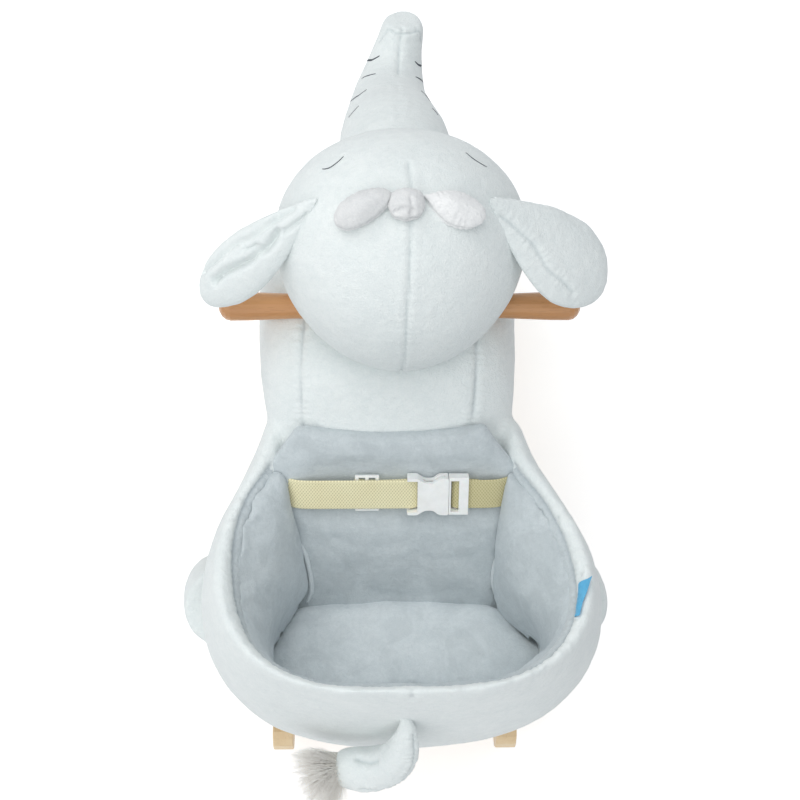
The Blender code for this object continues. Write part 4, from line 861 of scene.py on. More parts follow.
def panel_rings():
    outline = [Vector((*p, 0.0)) for p in PANEL]
    outline = even(outline + [outline[0]], 150)[:-1]
    middle = Vector((-0.003, 0.065, 0.0))
    rings = []
    for share, off in ((0.96, -0.012), (1.02, -0.006), (1.02, -0.0015), (0.990, 0.0012),
                       (0.93, 0.0026), (0.80, 0.0040), (0.60, 0.0050), (0.35, 0.0056),
                       (0.12, 0.0058)):
        rings.append([wall_place(*(middle + (p - middle) * share).xy, off) for p in outline])
    return rings


panel = ring_loft("velvet_front_panel", panel_rings())
stuffed(panel, 0.0022, 2, 0.0009, 0.0003, 0.024, 9.0, swell=(2.5, 0.002))
for line in (((-0.020, 0.012), (0.010, 0.008), (0.040, 0.014)),
             ((-0.050, 0.060), (-0.025, 0.052), (0.004, 0.056)),
             ((0.010, 0.046), (0.036, 0.040), (0.060, 0.046)),
             ((-0.060, 0.118), (-0.036, 0.124), (-0.012, 0.118))):
    ditch(panel, [wall_place(x, up, 0.0055) for x, up in line], 0.0009, 0.0045)
press(panel)
finish_piece(panel, VELVET, "base", "velvet_grey", "front_lining", fill=0.7)

# Soft edges that show in the slit beside the left wing, and its like on the right, in velvet painted
# lighter: painted light where light falls on the edges
for side, line in (("left", ((-0.0775, -0.128, 0.2960), (-0.0722, -0.1370, 0.2880),
                             (-0.0688, -0.1480, 0.2760), (-0.0680, -0.1590, 0.2640),
                             (-0.0715, -0.1660, 0.2560))),
                   ("right", ((0.0760, -0.136, 0.2880), (0.0735, -0.1440, 0.2790),
                              (0.0728, -0.1530, 0.2690), (0.0745, -0.1610, 0.2600)))):
    edge = tube("slit_edge_" + side, line, [0.0010] + [0.0019] * (len(line) - 2) + [0.0012], 16, 6)
    finish_piece(edge, VELVET_EDGE_LIT, "base", "velvet_grey", fill=0.5)

# Seat cushion on its foam
PAN = ((0.0, -0.2440), (0.0600, -0.2420), (0.1000, -0.2290), (0.1180, -0.2090), (0.1040, -0.1930),
       (0.0860, -0.1770), (0.0760, -0.1680), (0.0380, -0.1640), (0.0000, -0.1625),
       (-0.0380, -0.1640), (-0.0770, -0.1665), (-0.0900, -0.1800), (-0.0990, -0.1950),
       (-0.1050, -0.2100), (-0.0990, -0.2290), (-0.0600, -0.2420))


def pan_ring(share, z, lift=0.0):
    outline = [Vector((*p, 0.0)) for p in PAN]
    outline = catmull(outline + [outline[0]], 5)[:-1]
    middle = Vector((0.003, -0.203, 0.0))
    ring = []
    for point in outline:
        place = middle + (point - middle) * share
        ring.append((place.x, place.y, z + lift * (1.0 - (place.x / 0.11) ** 2)))
    return ring


low = PAN_LOW_Z
cushion = ring_loft("velvet_cushion", [pan_ring(*row) for row in (
    (0.96, low), (0.995, low + 0.004), (1.0, low + 0.012), (0.992, low + 0.0185, 0.001),
    (0.95, low + 0.0235, 0.0025), (0.85, low + 0.0270, 0.0045), (0.65, low + 0.0290, 0.0065),
    (0.40, low + 0.0300, 0.0075), (0.15, low + 0.0302, 0.0080))])
stuffed(cushion, 0.0030, 2, 0.0010, 0.0003, 0.026, 12.0, swell=(4.0, 0.003))
# the cushion wears the velvet with painted light
finish_piece(cushion, VELVET_SEAT_LIT, "base", "velvet_grey", "seat_cushion", fill=0.8)
foam = ring_loft("seat_foam_block", [pan_ring(0.93, 0.1623), pan_ring(0.93, 0.2280)])
modify(foam, "BEVEL", width=0.002, segments=2, limit_method="ANGLE")
finish_piece(foam, FOAM, "base", "foam", "seat_foam", fill=1.0)


# Head
HEAD_Y, HEAD_Z = 0.0516, 0.428
HEAD_HALF_WIDTH, HEAD_REAR, HEAD_FRONT, HEAD_HALF_HEIGHT = 0.0915, 0.0885, 0.0862, 0.090


def head_shape(unit):
    reach = HEAD_REAR if unit.y < 0 else HEAD_FRONT
    return Vector((HEAD_HALF_WIDTH * unit.x * (1.0 + 0.12 * unit.y), HEAD_Y + reach * unit.y,
                   HEAD_Z + HEAD_HALF_HEIGHT * unit.z * (1.0 + 0.04 * unit.y)))


head = stuffed(ball("plush_head", head_shape), PLUSH_VOXEL, 2, seed=15.0)
sew(head, laid(head, even((
    (0.0035, 0.0724, 0.5157), (0.0045, 0.0505, 0.5173), (0.0040, 0.0280, 0.5110),
    (0.0036, 0.0054, 0.5026), (0.0028, -0.0080, 0.4910), (0.0019, -0.0198, 0.4776),
    (0.0014, -0.0320, 0.4550), (0.0010, -0.0358, 0.4293), (0.0000, -0.0300, 0.3900),
    (0.0000, 0.0000, 0.3500)), 60)), 0.0012, 0.0014, 0.0002, 0.004)
finish_piece(head, PLUSH, "base", "plush_white", "head", fill=1.0)

TRUNK = ((0.0, 0.090, 0.400), (-0.001, 0.130, 0.395), (-0.002, 0.165, 0.380),
         (-0.004, 0.200, 0.357), (-0.005, 0.235, 0.342), (-0.001, 0.265, 0.342),
         (0.004, 0.286, 0.355), (0.0070, 0.294, 0.367), (0.0074, 0.2955, 0.3705))
TRUNK_RADII = (0.0414, 0.0460, 0.0444, 0.0390, 0.0315, 0.0245, 0.0190, 0.0165, 0.0102)
trunk = stuffed(tube("plush_trunk", TRUNK, TRUNK_RADII), 0.0026, 2, 0.0005, 0.0002, 0.02, 19.0)
sew(trunk, [(0.006, 0.283, 0.3745), (0.0036, 0.275, 0.371), (0.0027, 0.2601, 0.3655),
            (0.0012, 0.230, 0.377), (0.0005, 0.2092, 0.3978), (-0.0005, 0.1742, 0.4234),
            (-0.001, 0.135, 0.441)], 0.0011, 0.0017, 0.0002)
cap = ((-0.0140, 0.2800, 0.3620), (-0.0062, 0.2848, 0.3713), (-0.0013, 0.2805, 0.3731),
       (0.0036, 0.2795, 0.3733), (0.0118, 0.2806, 0.3731), (0.0194, 0.2852, 0.3694),
       (0.0240, 0.2810, 0.3600))
sew(trunk, laid(trunk, cap), 0.0012, 0.0016, 0.0002)
finish_piece(trunk, PLUSH, "base", "plush_white", "trunk", fill=1.0)

# Ears
EAR_CREASES_LEFT = (        # line, depth and half width of the dent, width of its shade
    (((-0.0766, 0.0514, 0.4898), (-0.0886, 0.0474, 0.4814), (-0.0950, 0.0452, 0.4767),
      (-0.1026, 0.0422, 0.4707), (-0.1096, 0.0403, 0.4653), (-0.1190, 0.0398, 0.4590),
      (-0.1321, 0.0345, 0.4447), (-0.1417, 0.0319, 0.4327)), 0.0040, 0.0024, 0.0012),
    (((-0.0880, 0.0401, 0.4775), (-0.0895, 0.0367, 0.4737), (-0.0946, 0.0327, 0.4679),
      (-0.1015, 0.0309, 0.4630), (-0.1063, 0.0285, 0.4584), (-0.1136, 0.0270, 0.4532),
      (-0.1248, 0.0257, 0.4448), (-0.1325, 0.0236, 0.4365)), 0.0075, 0.0028, 0.0020),
    (((-0.1104, 0.0364, 0.4623), (-0.1060, 0.0360, 0.4645), (-0.1022, 0.0345, 0.4655),
      (-0.1007, 0.0319, 0.4643)), 0.0040, 0.0030, 0.0020),
    (((-0.0660, 0.0455, 0.4905), (-0.0697, 0.0441, 0.4874), (-0.0781, 0.0408, 0.4820),
      (-0.0831, 0.0394, 0.4788)), 0.0035, 0.0022, 0.0014))
EAR_SEAM_RIGHT = ((0.0672, 0.0446, 0.4909), (0.0749, 0.0414, 0.4860), (0.0817, 0.0380, 0.4807),
                  (0.0911, 0.0331, 0.4730), (0.0968, 0.0269, 0.4660), (0.1037, 0.0199, 0.4575),
                  (0.1138, 0.0162, 0.4486), (0.1227, 0.0118, 0.4390))
EAR_ROOT = (0.0580, 0.055, 0.500)
EAR_LENGTH, EAR_THICK = 0.126, 0.012


def ear_shape(sign, tip, face, half_width):
    root = Vector((sign * EAR_ROOT[0], *EAR_ROOT[1:]))
    tip = Vector((sign * tip[0], *tip[1:]))
    along = (tip - root).normalized()
    face = Vector((sign * face[0], *face[1:]))
    face = (face - along * face.dot(along)).normalized()
    across = face.cross(along).normalized()

    def shape(unit):
        share = (unit.z + 1) / 2
        width = half_width * (0.30 + 0.86 * sin(pi * min(1.0, share * 0.95) ** 1.05 / 1.9))
        thick = EAR_THICK * (0.40 + 0.75 * share)
        return (root + along * (EAR_LENGTH * share) + across * (unit.x * width * sign)
                + face * (unit.y * thick))
    return shape


for side, sign, tip, face, half_width in (
        ("left", -1.0, (0.1410, 0.019, 0.417), (0.30, -0.55, 0.75), 0.0225),
        ("right", 1.0, (0.1475, 0.024, 0.417), (0.20, -0.30, 0.90), 0.0325)):
    ear = stuffed(ball("plush_ear_" + side, ear_shape(sign, tip, face, half_width)), 0.0022, 2,
                  0.0005, 0.0002, 0.018, 23.0 + sign)
    if side == "left":
        creases = [(laid(ear, line), depth, reach, width)
                   for line, depth, reach, width in EAR_CREASES_LEFT]
        for line, depth, reach, _ in creases:
            ditch(ear, line, depth, reach)
        # painted shade along the creases
        for line, _, _, width in creases:
            mark_line(ear, line, width)
    else:
        sew(ear, EAR_SEAM_RIGHT, 0.0014, 0.0016, 0.0002)
        ditch(ear, [(x + 0.002, y - 0.010, z - 0.004) for x, y, z in EAR_SEAM_RIGHT], 0.0020, 0.0060)
        ditch(ear, ((0.1160, 0.0590, 0.4620), (0.1204, 0.0585, 0.4598),
                    (0.1274, 0.0558, 0.4545)), 0.0016, 0.0035)
    finish_piece(ear, PLUSH, "ear_" + side, "plush_white", "ear_" + side, fill=0.8)


def turned(y, z):
    return Matrix.Rotation(radians(z), 3, "Z") @ Matrix.Rotation(radians(y), 3, "Y")


def leaf(centre, half, turn, point):
    """A small stuffed leaf: round at one end, drawn to a point at the other."""
    lean = turned(*turn[1:]) @ Matrix.Rotation(radians(turn[0]), 3, "X")

    def shape(unit):
        if point < 0:
            most = max(abs(unit.x), abs(unit.y), 1e-6)
            square = 1.0 + 0.22 * (1.0 - abs(unit.z)) * (sqrt(unit.x ** 2 + unit.y ** 2) / most - 1)
            return Vector(centre) + lean @ Vector((half[0] * unit.x * square * 0.95,
                                                   half[1] * unit.y * square * 0.95,
                                                   half[2] * unit.z))
        taper = 1.0 - point * max(0.0, -unit.x) ** 1.6
        body_width = half[1] * (1.0 + 0.12 * unit.x) * taper
        thick = half[2] * taper * (1.0 - 0.35 * abs(unit.y) ** 2)
        bend = -0.10 * half[0] * (1.0 - unit.x ** 2)
        return Vector(centre) + lean @ Vector((half[0] * unit.x, body_width * unit.y,
                                               thick * unit.z + bend))
    return shape


for name, centre, half, turn, point, fur in (
        ("hair_left", (-0.0275, 0.0375, 0.5150), (0.0222, 0.0115, 0.0104), (0, 160, 22), 0.05, HAIR),
        ("hair_middle", (0.0012, 0.0380, 0.5200), (0.0132, 0.0120, 0.0095), (10, 0, 3), -1.0, HAIR),
        ("hair_right", (0.0330, 0.0405, 0.5130), (0.0235, 0.0135, 0.0095), (0, 17, -13), 0.85,
         HAIR_WHITE)):
    lobe = stuffed(ball("plush_" + name, leaf(centre, half, turn, point), 48, 28), 0.0014, 2,
                   0.0005, 0.0002, 0.010, 31.0)
    rim = [Vector(centre) + turned(*turn[1:]) @ Vector((half[0] * cos(a), half[1] * sin(a), -0.0015))
           for a in [2 * pi * k / 24 for k in range(25)]]
    sew(lobe, laid(lobe, rim), 0.0009, 0.0010, 0.0002)
    if name == "hair_middle":
        for line, depth, width in (
                (((-0.008, 0.029, 0.524), (-0.001, 0.031, 0.527), (0.006, 0.029, 0.525)),
                 0.0018, 0.0020),
                (((0.003, 0.026, 0.518), (0.005, 0.031, 0.527), (0.004, 0.038, 0.531)),
                 0.0014, 0.0018)):
            ditch(lobe, laid(lobe, line), depth, width)
    finish_piece(lobe, fur, "base", "plush_white", name, fill=0.9)


def satin(name, target, points, width, pitch=0.00042, thick=0.00024):
    """A row of slanted stitches along a line on a surface, fine at both ends."""
    tree = BVHTree.FromObject(target, bpy.context.evaluated_depsgraph_get())
    line = dense(points, 0.0004)
    length = float(np.linalg.norm(np.diff(line, axis=0), axis=1).sum())
    count = max(6, int(length / pitch))
    path = even(points, count)
    form = bmesh.new()
    for k in range(1, count - 1):
        place, normal, _, _ = tree.find_nearest(path[k])
        along = (path[k + 1] - path[k - 1]).normalized()
        across = normal.cross(along).normalized()
        way = (across + 0.35 * along).normalized()
        share = k / (count - 1)
        half = width / 2 * (0.30 + 0.70 * sin(pi * share) ** 0.6)
        frame_of = Matrix((way * half, normal.cross(way).normalized() * thick * 1.1,
                           normal * thick)).transposed().to_4x4()
        bmesh.ops.create_uvsphere(form, u_segments=8, v_segments=5, radius=1.0,
                                  matrix=Matrix.Translation(place + normal * thick * 0.5) @ frame_of)
    return finish_piece(from_form(name, form), THREAD, "base", "plush_white")


EYES = (
    ((-0.0553, 0.0792, 0.4949), (-0.0530, 0.0780, 0.4974), (-0.0497, 0.0779, 0.4997),
     (-0.0448, 0.0809, 0.5014), (-0.0407, 0.0855, 0.5017)),
    ((0.0434, 0.0919, 0.4966), (0.0482, 0.0876, 0.4957), (0.0539, 0.0850, 0.4934),
     (0.0590, 0.0844, 0.4905)))
for (side, _), line in zip(SIDES, EYES):
    satin("eye_" + side, head, line, 0.0013)
WRINKLES = (
    ((-0.0225, 0.2710, 0.3475), (-0.0200, 0.2660, 0.3545), (-0.0177, 0.2645, 0.3583),
     (-0.0128, 0.2659, 0.3620)),
    ((-0.0276, 0.2453, 0.3593), (-0.0219, 0.2436, 0.3647), (-0.0163, 0.2433, 0.3694)),
    ((-0.0358, 0.2203, 0.3637), (-0.0294, 0.2145, 0.3798), (-0.0230, 0.2179, 0.3832)),
    ((-0.0380, 0.1840, 0.3968), (-0.0333, 0.1869, 0.3994), (-0.0286, 0.1904, 0.4011)),
    ((0.0161, 0.2636, 0.3584), (0.0187, 0.2630, 0.3535), (0.0215, 0.2659, 0.3480)),
    ((0.0158, 0.2472, 0.3596), (0.0193, 0.2486, 0.3546), (0.0221, 0.2507, 0.3457)),
    ((0.0189, 0.2222, 0.3755), (0.0236, 0.2174, 0.3757), (0.0264, 0.2090, 0.3813)),
    ((0.0250, 0.1874, 0.4031), (0.0281, 0.1854, 0.4021), (0.0303, 0.1821, 0.4029)))
for number, line in enumerate(WRINKLES, 1):
    satin(f"trunk_stitch_{number}", trunk, line, 0.0022 if number in (1, 5) else 0.0016)

# Legs
def sole(leg, middle, radius):
    """The seam where the round sole is sewn in."""
    ring = [Vector(middle) + Vector((radius * cos(a), radius * sin(a), 0.0))
            for a in [2 * pi * k / 28 for k in range(29)]]
    sew(leg, laid(leg, ring), 0.0012, 0.0016, 0.0004, 0.005)


SLAT_TOP_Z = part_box("front_slat")[1][2]
FRONT_SOLE_Z = SLAT_TOP_Z + GAP
LEGS = (            # foot x, y, radius and sole z; the run down to it from the foot; radii
    ("hind", 0.1490, -0.113, 0.0370, 0.034,
     ((-0.008, -0.040, 0.190), (-0.005, -0.026, 0.158), (-0.001, -0.006, 0.112), (0.0, 0.0, 0.075)),
     0.010, (0.90, 0.95, 0.96, 1.0, 0.93, 0.74), 40.0),
    ("front", 0.0950, 0.222, 0.0345, FRONT_SOLE_Z,
     ((-0.030, -0.085, 0.205), (-0.012, -0.054, 0.186), (-0.001, -0.014, 0.142),
      (0.0, 0.0, FRONT_SOLE_Z + 0.022)), 0.008, (0.95, 1.0, 0.96, 1.0, 0.93, 0.76), 50.0))
for side, sign in SIDES:
    for place, x, y, r, low, run, rise, shares, seed in LEGS:
        path = [(sign * (x + dx), y + dy, z) for dx, dy, z in
                (*run, (0.0, 0.0, low + rise), (0.0, 0.0, low))]
        leg = tube(f"plush_leg_{place}_{side}", path, [r * share for share in shares])
        stuffed(leg, PLUSH_VOXEL, 3, seed=seed + sign)
        sole(leg, (sign * x, y, low + 0.0085), r * 0.99)
        finish_piece(leg, PLUSH, "base", "plush_white", f"leg_{place}_{side}", fill=0.95)

# Tail, from the point where it is sewn to the tub
x, y, z = -0.003, -0.2690, 0.340
TAIL = ((x + 0.0040, y + 0.0010, z - 0.004), (x + 0.0050, y - 0.0100, z - 0.0105),
        (x + 0.0020, y - 0.0205, z - 0.026), (x - 0.0060, y - 0.0268, z - 0.042),
        (x - 0.0180, y - 0.0290, z - 0.053), (x - 0.0310, y - 0.0282, z - 0.056),
        (x - 0.0400, y - 0.0270, z - 0.057), (x - 0.0460, y - 0.0262, z - 0.057))
r = 0.0152
tail = stuffed(tube("plush_tail", TAIL, (0.0035, 0.0075, r * 0.82, r * 1.0, r * 1.06, r * 1.04,
                                         r * 0.92, r * 0.62)), 0.0020, 2,
               0.0006, 0.0002, 0.014, 60.0)
tail_run = catmull(TAIL, 6)
sew(tail, laid(tail, [q + Vector((0.010, -0.010, 0.004)) for q in tail_run[3:34]]),
    0.0012, 0.0014, 0.0004, 0.005)
sew(tail, laid(tail, ((-0.0330, -0.2920, 0.3010), (-0.0250, -0.2960, 0.3030),
                      (-0.0180, -0.2960, 0.3075))), 0.0020, 0.0022, 0.0002)
finish_piece(tail, PLUSH, "tail", "plush_white", "tail", fill=0.95)


TUFT_CLEAR_Y = -0.2870      # past this the hairs bend away from the tub


def fur_tuft(name, root, way, reach, spread, count, seed):
    """Long hairs that fan out from the end of the tail, each a thin bent cone."""
    draw = np.random.RandomState(seed)
    way = Vector(way).normalized()
    side = way.cross(Vector((0, 0, 1))).normalized()
    lift = side.cross(way).normalized()
    points, faces, shade = [], [], []
    for _ in range(count):
        turn = draw.uniform(0, 2 * pi)
        open_angle = spread * draw.beta(2.0, 1.4)
        start = Vector(root) + way * draw.uniform(-0.006, 0.004) + (
            side * cos(turn) + lift * sin(turn)) * 0.0085 * sqrt(draw.uniform(0.05, 1.0))
        out = way * cos(open_angle) + (side * cos(turn) + lift * sin(turn)) * sin(open_angle)
        length = reach * draw.uniform(0.72, 1.08)
        droop = Vector((0, 0, -1)) * length * draw.uniform(0.02, 0.16)
        stray = Vector(draw.normal(0, 0.0011, 3))
        thick = draw.uniform(0.00022, 0.00038)
        tone = draw.uniform(0, 1)
        steps = 5
        first = len(points)
        for k in range(steps + 1):
            t = k / steps
            place = start + out * (length * t) + (droop + stray) * t * t
            place.y = min(place.y, TUFT_CLEAR_Y + 0.25 * (place.y - TUFT_CLEAR_Y))
            wide = thick * (1.0 - 0.82 * t)
            for j in range(3):
                around = 2 * pi * j / 3 + turn
                points.append(place + side * wide * cos(around) + lift * wide * sin(around))
                shade.append(0.15 + 0.6 * t + 0.25 * tone)
        for k in range(steps):
            for j in range(3):
                a, b = first + 3 * k + j, first + 3 * k + (j + 1) % 3
                faces.append((a, b, b + 3, a + 3))
        faces.append((first + 2, first + 1, first))
        faces.append((first + 3 * steps, first + 3 * steps + 1, first + 3 * steps + 2))
    mesh = bpy.data.meshes.new(name)
    mesh.from_pydata([tuple(q) for q in points], [], faces)
    return keep(link(bpy.data.objects.new(name, mesh)), "along", shade)


tuft = fur_tuft("fur_tail_tuft", (-0.0490, -0.2962, 0.2800), (-0.90, -0.30, -0.10), 0.0290, 1.35,
                3400, 7)
core = remesh(tube("tuft_core", ((-0.0430, -0.2955, 0.2825), (-0.0510, -0.2962, 0.2790),
                                 (-0.0590, -0.2975, 0.2755), (-0.0640, -0.2985, 0.2735)),
                   (0.0100, 0.0120, 0.0105, 0.0060)), 0.0020, 3)
finish_piece(core, FUR_ROOT, "tail", "tuft_fur", fill=0.6)
finish_piece(tuft, FUR, "tail", "tuft_fur", "tail_tuft")

# Webbing and buckle
WEB_HALF, WEB_THICK = 0.0120, 0.0018
PICK, YARN = 0.0023, 0.0031         # the weave's pitch along and across the tape


def webbing(name, line):
    """Woven tape along a line of (X, off the wall, shift up the wall)."""
    run = dense(line, 0.0004)
    length = float(np.linalg.norm(np.diff(run, axis=0), axis=1).sum())
    count = int(length / 0.00045)
    path = even(line, count)
    columns = 49
    points, weave = [], []
    for face in (1.0, -1.0):
        for i, place in enumerate(path):
            way = path[min(i + 1, count - 1)] - path[max(i - 1, 0)]
            off = Vector((-way.y, way.x, 0.0)).normalized()
            travel = length * i / (count - 1)
            for j in range(columns):
                v = (j / (columns - 1) - 0.5) * 2.0
                rib = abs(v) > 0.90
                pick = cos(2 * pi * travel / PICK)
                height = 0.5 + 0.5 * pick * (0.6 if rib else cos(2 * pi * v * WEB_HALF / YARN))
                edge = max(0.0, (abs(v) - 0.93) / 0.07) ** 2
                thick = WEB_THICK / 2 * (1.0 - 0.75 * edge) + 0.00026 * (height - 0.5) * (1 - edge)
                at = place + off * (face * thick)
                points.append(BELT @ Vector((at.x, place.z + v * WEB_HALF, at.y)))
                weave.append(height)
    return keep(new_mesh(name, points, two_sides(count, columns)), "weave", weave)


tape_left = webbing("strap_tape_left", (
    (-0.0905, -0.0075, 0.0), (-0.0850, -0.0050, 0.0), (-0.0780, -0.0012, 0.0),
    (-0.0680, 0.0002, 0.0), (-0.0450, 0.0006, 0.0002), (-0.0200, 0.0003, 0.0),
    (0.0040, 0.0002, 0.0), (0.0092, -0.0002, 0.0), (0.0122, -0.0025, -0.0002),
    (0.0092, -0.0048, -0.0006), (0.0030, -0.0050, -0.0016), (-0.0120, -0.0051, -0.0023),
    (-0.0250, -0.0050, -0.0020), (-0.0345, -0.0050, -0.0012)))
finish_piece(tape_left, WEBBING_LIT, "base", "webbing_khaki", "strap_left")
# the right strap wears the webbing with painted shade
tape_right = webbing("strap_tape_right", (
    (0.0850, -0.0072, 0.0), (0.0800, -0.0046, 0.0), (0.0730, -0.0010, 0.0), (0.0640, 0.0, 0.0),
    (0.0520, 0.0, 0.0), (0.0430, -0.0002, 0.0), (0.0394, -0.0025, -0.0002),
    (0.0430, -0.0048, -0.0008), (0.0500, -0.0050, -0.0016), (0.0590, -0.0050, -0.0022)))
finish_piece(tape_right, WEBBING_SHADED, None, "webbing_khaki", "strap_right")
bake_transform(tape_right)


def belt_solid(name, outline, low, high):
    """An outline in the belt's plane given thickness off the wall."""
    count = len(outline)
    points = [(x, v, n) for n in (low, high) for x, v in outline]
    faces = [tuple(range(count))[::-1], tuple(range(count, 2 * count))]
    faces += [(i, (i + 1) % count, count + (i + 1) % count, count + i) for i in range(count)]
    return new_mesh(name, [BELT @ Vector(q) for q in points], faces)


def rounded(points, radius, steps=4):
    """An outline with its corners rounded off."""
    count = len(points)
    found = []
    for k in range(count):
        here = Vector(points[k])
        before, after = Vector(points[k - 1]), Vector(points[(k + 1) % count])
        back, on = (before - here), (after - here)
        cut = min(radius, back.length * 0.45, on.length * 0.45)
        a, b = here + back.normalized() * cut, here + on.normalized() * cut
        for step in range(steps + 1):
            t = step / steps
            found.append(tuple((1 - t) ** 2 * a + 2 * t * (1 - t) * here + t * t * b))
    return found


def box_outline(x0, x1, v0, v1):
    return [(x0, v0), (x1, v0), (x1, v1), (x0, v1)]


SOCKET_HALF, SOCKET_THICK, POCKET_HALF = 0.0155, 0.0096, 0.0019
half_outline = [
    (0.0050, -SOCKET_HALF), (0.0125, -SOCKET_HALF), (0.0150, -SOCKET_HALF + 0.0018),
    (0.0185, -SOCKET_HALF + 0.0040), (0.0245, -SOCKET_HALF + 0.0040),
    (0.0285, -SOCKET_HALF + 0.0005), (0.0320, -SOCKET_HALF), (0.0360, -SOCKET_HALF)]
socket = belt_solid("buckle_socket_body", rounded(
    half_outline + [(x, -v) for x, v in half_outline[::-1]], 0.0016),
    -SOCKET_THICK / 2, SOCKET_THICK / 2)
holes = [(box_outline(0.0072, 0.0128, -0.0132, 0.0132), -0.02, 0.02),
         (box_outline(0.0, 0.0090, -0.0132, 0.0132), -0.0012, 0.02),
         (box_outline(0.0175, 0.05, -0.0118, 0.0118), -POCKET_HALF, POCKET_HALF)]
for sign in (-1.0, 1.0):
    holes.append((box_outline(0.0170, 0.0335, *sorted((sign * 0.0098, sign * 0.02))),
                  -POCKET_HALF, POCKET_HALF))
    holes.append((rounded(box_outline(0.0188, 0.0250, *sorted((sign * 0.0118, sign * 0.0160))),
                          0.001), -0.0060, 0.0060))
for hole in holes:
    carve(socket, belt_solid("hole", *hole))
modify(socket, "BEVEL", width=0.0005, segments=2, limit_method="ANGLE", angle_limit=radians(35))
finish_piece(socket, PLASTIC, "base", "white_plastic", "buckle_socket")
socket.data.set_sharp_from_angle(angle=radians(25))

# Folded blue tape in the rim's seam
def tape_tag():
    """A folded tape whose base is in the seam and whose loose end leans over the rim."""
    rows, columns, fold = 15, 11, 0.0007
    tree = BVHTree.FromObject(body, bpy.context.evaluated_depsgraph_get())
    front, rear = laid(body, ((0.1195, -0.1800, 0.3585), (0.1160, -0.2050, 0.3680)))
    front_lean, rear_lean = Vector((0.0095, 0.0050, 0.0100)), Vector((0.0030, -0.0010, 0.0040))
    points = []
    for face in (0.0, 1.0):
        for i in range(rows):
            t = i / (rows - 1)
            foot = front.lerp(rear, t)
            lean = front_lean.lerp(rear_lean, t ** 0.8)
            for j in range(columns):
                u = j / (columns - 1)
                place = foot + lean * u + Vector((0.0, 0.0, 0.0008 * sin(2.4 * pi * t) * u))
                skin, out, _, _ = tree.find_nearest(place)
                short = fold + 0.0012 * u - 0.0022 * (1.0 - u) ** 8 - (place - skin).dot(out)
                if short > 0 or j == 0:
                    place += out * short
                points.append(place + out * (fold * face))
    return new_mesh("tape_tag", points, two_sides(rows, columns))


tag = subdivide(tape_tag(), 1)
finish_piece(tag, TAPE, "base", "blue_tape", "side_tag")

# Carried-over solids
FINISHES = {
    "rocker": BEECH_Y, "post_": BEECH_Z, "neck_post": BEECH_Z, "stretcher": BEECH_X,
    "front_slat": BEECH_X, "footrest": BEECH_X, "grip": HANDLE, "bolt": STEEL, "screw": STEEL,
    "handle_rod": STEEL, "buckle": PLASTIC, "prong": PLASTIC, "tri_glide": PLASTIC,
    "deck": PLYWOOD}
EDGES = {PLASTIC: (0.0004, 3), HANDLE: (0.0075, 6)}        # radius and steps of moulded edges
for name, obj in nodes.items():
    material = next((m for start, m in FINISHES.items() if name.startswith(start)), None)
    if material is None:
        continue
    cover(obj, material)
    if material in EDGES:
        obj.modifiers.new("weld", "WELD").merge_threshold = 0.00001
        edge = obj.modifiers.new("edge", "BEVEL")
        edge.width, edge.segments = EDGES[material]
        edge.limit_method = "ANGLE"
        edge.angle_limit = radians(40)

# Stage, light and camera
FLOOR_HALF, FLOOR_GLOW, SKY = 25, 0.42, 0.53
FILL = (0.93, 0.96, 1.0, 1.0)


def seen_itself(tree):
    """1 for what the camera sees, also in metal or glass, and 0 for what lights."""
    rays = tree.nodes.new("ShaderNodeLightPath").outputs
    value = rays["Is Camera Ray"]
    for kind in ("Is Glossy Ray", "Is Transmission Ray"):
        most = tree.nodes.new("ShaderNodeMath")
        most.operation = "MAXIMUM"
        tree.links.new(value, most.inputs[0])
        tree.links.new(rays[kind], most.inputs[1])
        value = most.outputs[0]
    return value


floor = new_mesh("floor", [(x * FLOOR_HALF, y * FLOOR_HALF, 0)
                           for x, y in ((-1, -1), (1, -1), (1, 1), (-1, 1))], [(0, 1, 2, 3)])
made = Nodes("floor_paper", 0.9, specular=0.0)
made.shader.inputs["Base Color"].default_value = (0.93, 0.93, 0.93, 1.0)
glow = made.add("ShaderNodeEmission",
                {"Strength": made.math("MULTIPLY", seen_itself(made.tree), FLOOR_GLOW)})
both = made.add("ShaderNodeAddShader", {0: made.shader.outputs[0], 1: glow.outputs[0]})
made.join(both.outputs[0], made.tree.nodes["Material Output"].inputs["Surface"])
floor.data.materials.append(made.material)
floor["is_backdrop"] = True

world = bpy.data.worlds.new("studio")
world.use_nodes = True
tree = world.node_tree
backdrop = tree.nodes["Background"]
white = tree.nodes.new("ShaderNodeBackground")
for source, colour, strength in ((backdrop, FILL, SKY), (white, (1.0, 1.0, 1.0, 1.0), 1.0)):
    source.inputs["Color"].default_value = colour
    source.inputs["Strength"].default_value = strength
mixed = tree.nodes.new("ShaderNodeMixShader")
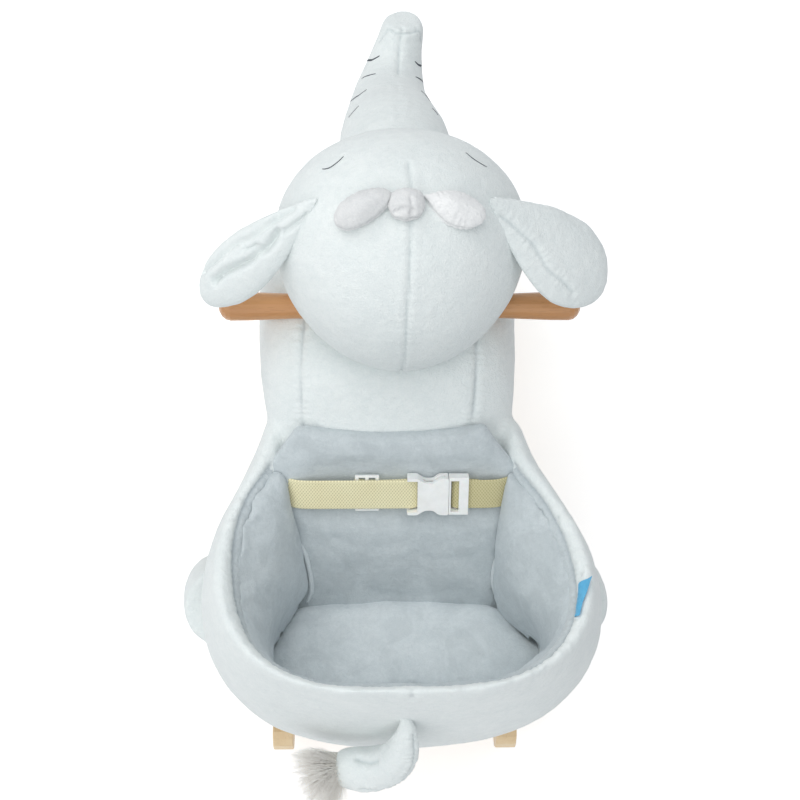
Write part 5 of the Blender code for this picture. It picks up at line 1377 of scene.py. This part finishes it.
tree.links.new(seen_itself(tree), mixed.inputs["Fac"])
tree.links.new(backdrop.outputs[0], mixed.inputs[1])
tree.links.new(white.outputs[0], mixed.inputs[2])
tree.links.new(mixed.outputs[0], tree.nodes["World Output"].inputs["Surface"])
bpy.context.scene.world = world


def area_light(name, place, power, colour=(1.0, 1.0, 1.0)):
    lamp = bpy.data.lights.new(name, "AREA")
    lamp.shape = "SQUARE"
    lamp.size = LAMP_SIZE
    lamp.energy = power
    lamp.color = colour
    obj = link(bpy.data.objects.new(name, lamp))
    obj.location = place
    obj.rotation_euler = (LAMP_AIM - Vector(place)).to_track_quat("-Z", "Y").to_euler()


LAMP_SIZE, LAMP_AIM = 1.4, Vector((0, 0, 0.3))
area_light("key_front_left", (-1.1, 1.0, 1.9), 10.5, (1.0, 0.995, 0.98))
area_light("key_rear_left", (-1.1, -1.2, 1.7), 10.5, (1.0, 0.995, 0.98))
area_light("overhead", (0.0, 0.0, 2.4), 11.0)
area_light("fill_rear", (0.0, -1.7, 1.4), 4.0, (0.96, 0.98, 1.0))

# The photograph's camera
FOCAL_PIXELS, CAMERA_DISTANCE = 1495.0, 1.22
azimuth, elevation, roll = radians(-4.2), radians(68.0), radians(3.73)
target = Vector((0.0026, 0.0, 0.265))
back = Vector((sin(azimuth) * cos(elevation), -cos(azimuth) * cos(elevation), sin(elevation)))
forward = -back
right = forward.cross(Vector((0, 0, 1))).normalized()
up = right.cross(forward)
right, up = (right * cos(roll) + up * sin(roll), up * cos(roll) - right * sin(roll))
lens = bpy.data.cameras.new("camera")
lens.sensor_width = 36.0
lens.lens = FOCAL_PIXELS / 800.0 * 36.0
camera = link(bpy.data.objects.new("camera", lens))
camera.matrix_world = Matrix.Translation(target + back * CAMERA_DISTANCE) @ Matrix(
    (right, up, back)).transposed().to_4x4()
bpy.context.scene.camera = camera
bpy.context.scene.view_settings.view_transform = "Standard"

low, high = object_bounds()
{"cad": [list(cad_low), list(cad_high)], "visual": [list(low), list(high)]}
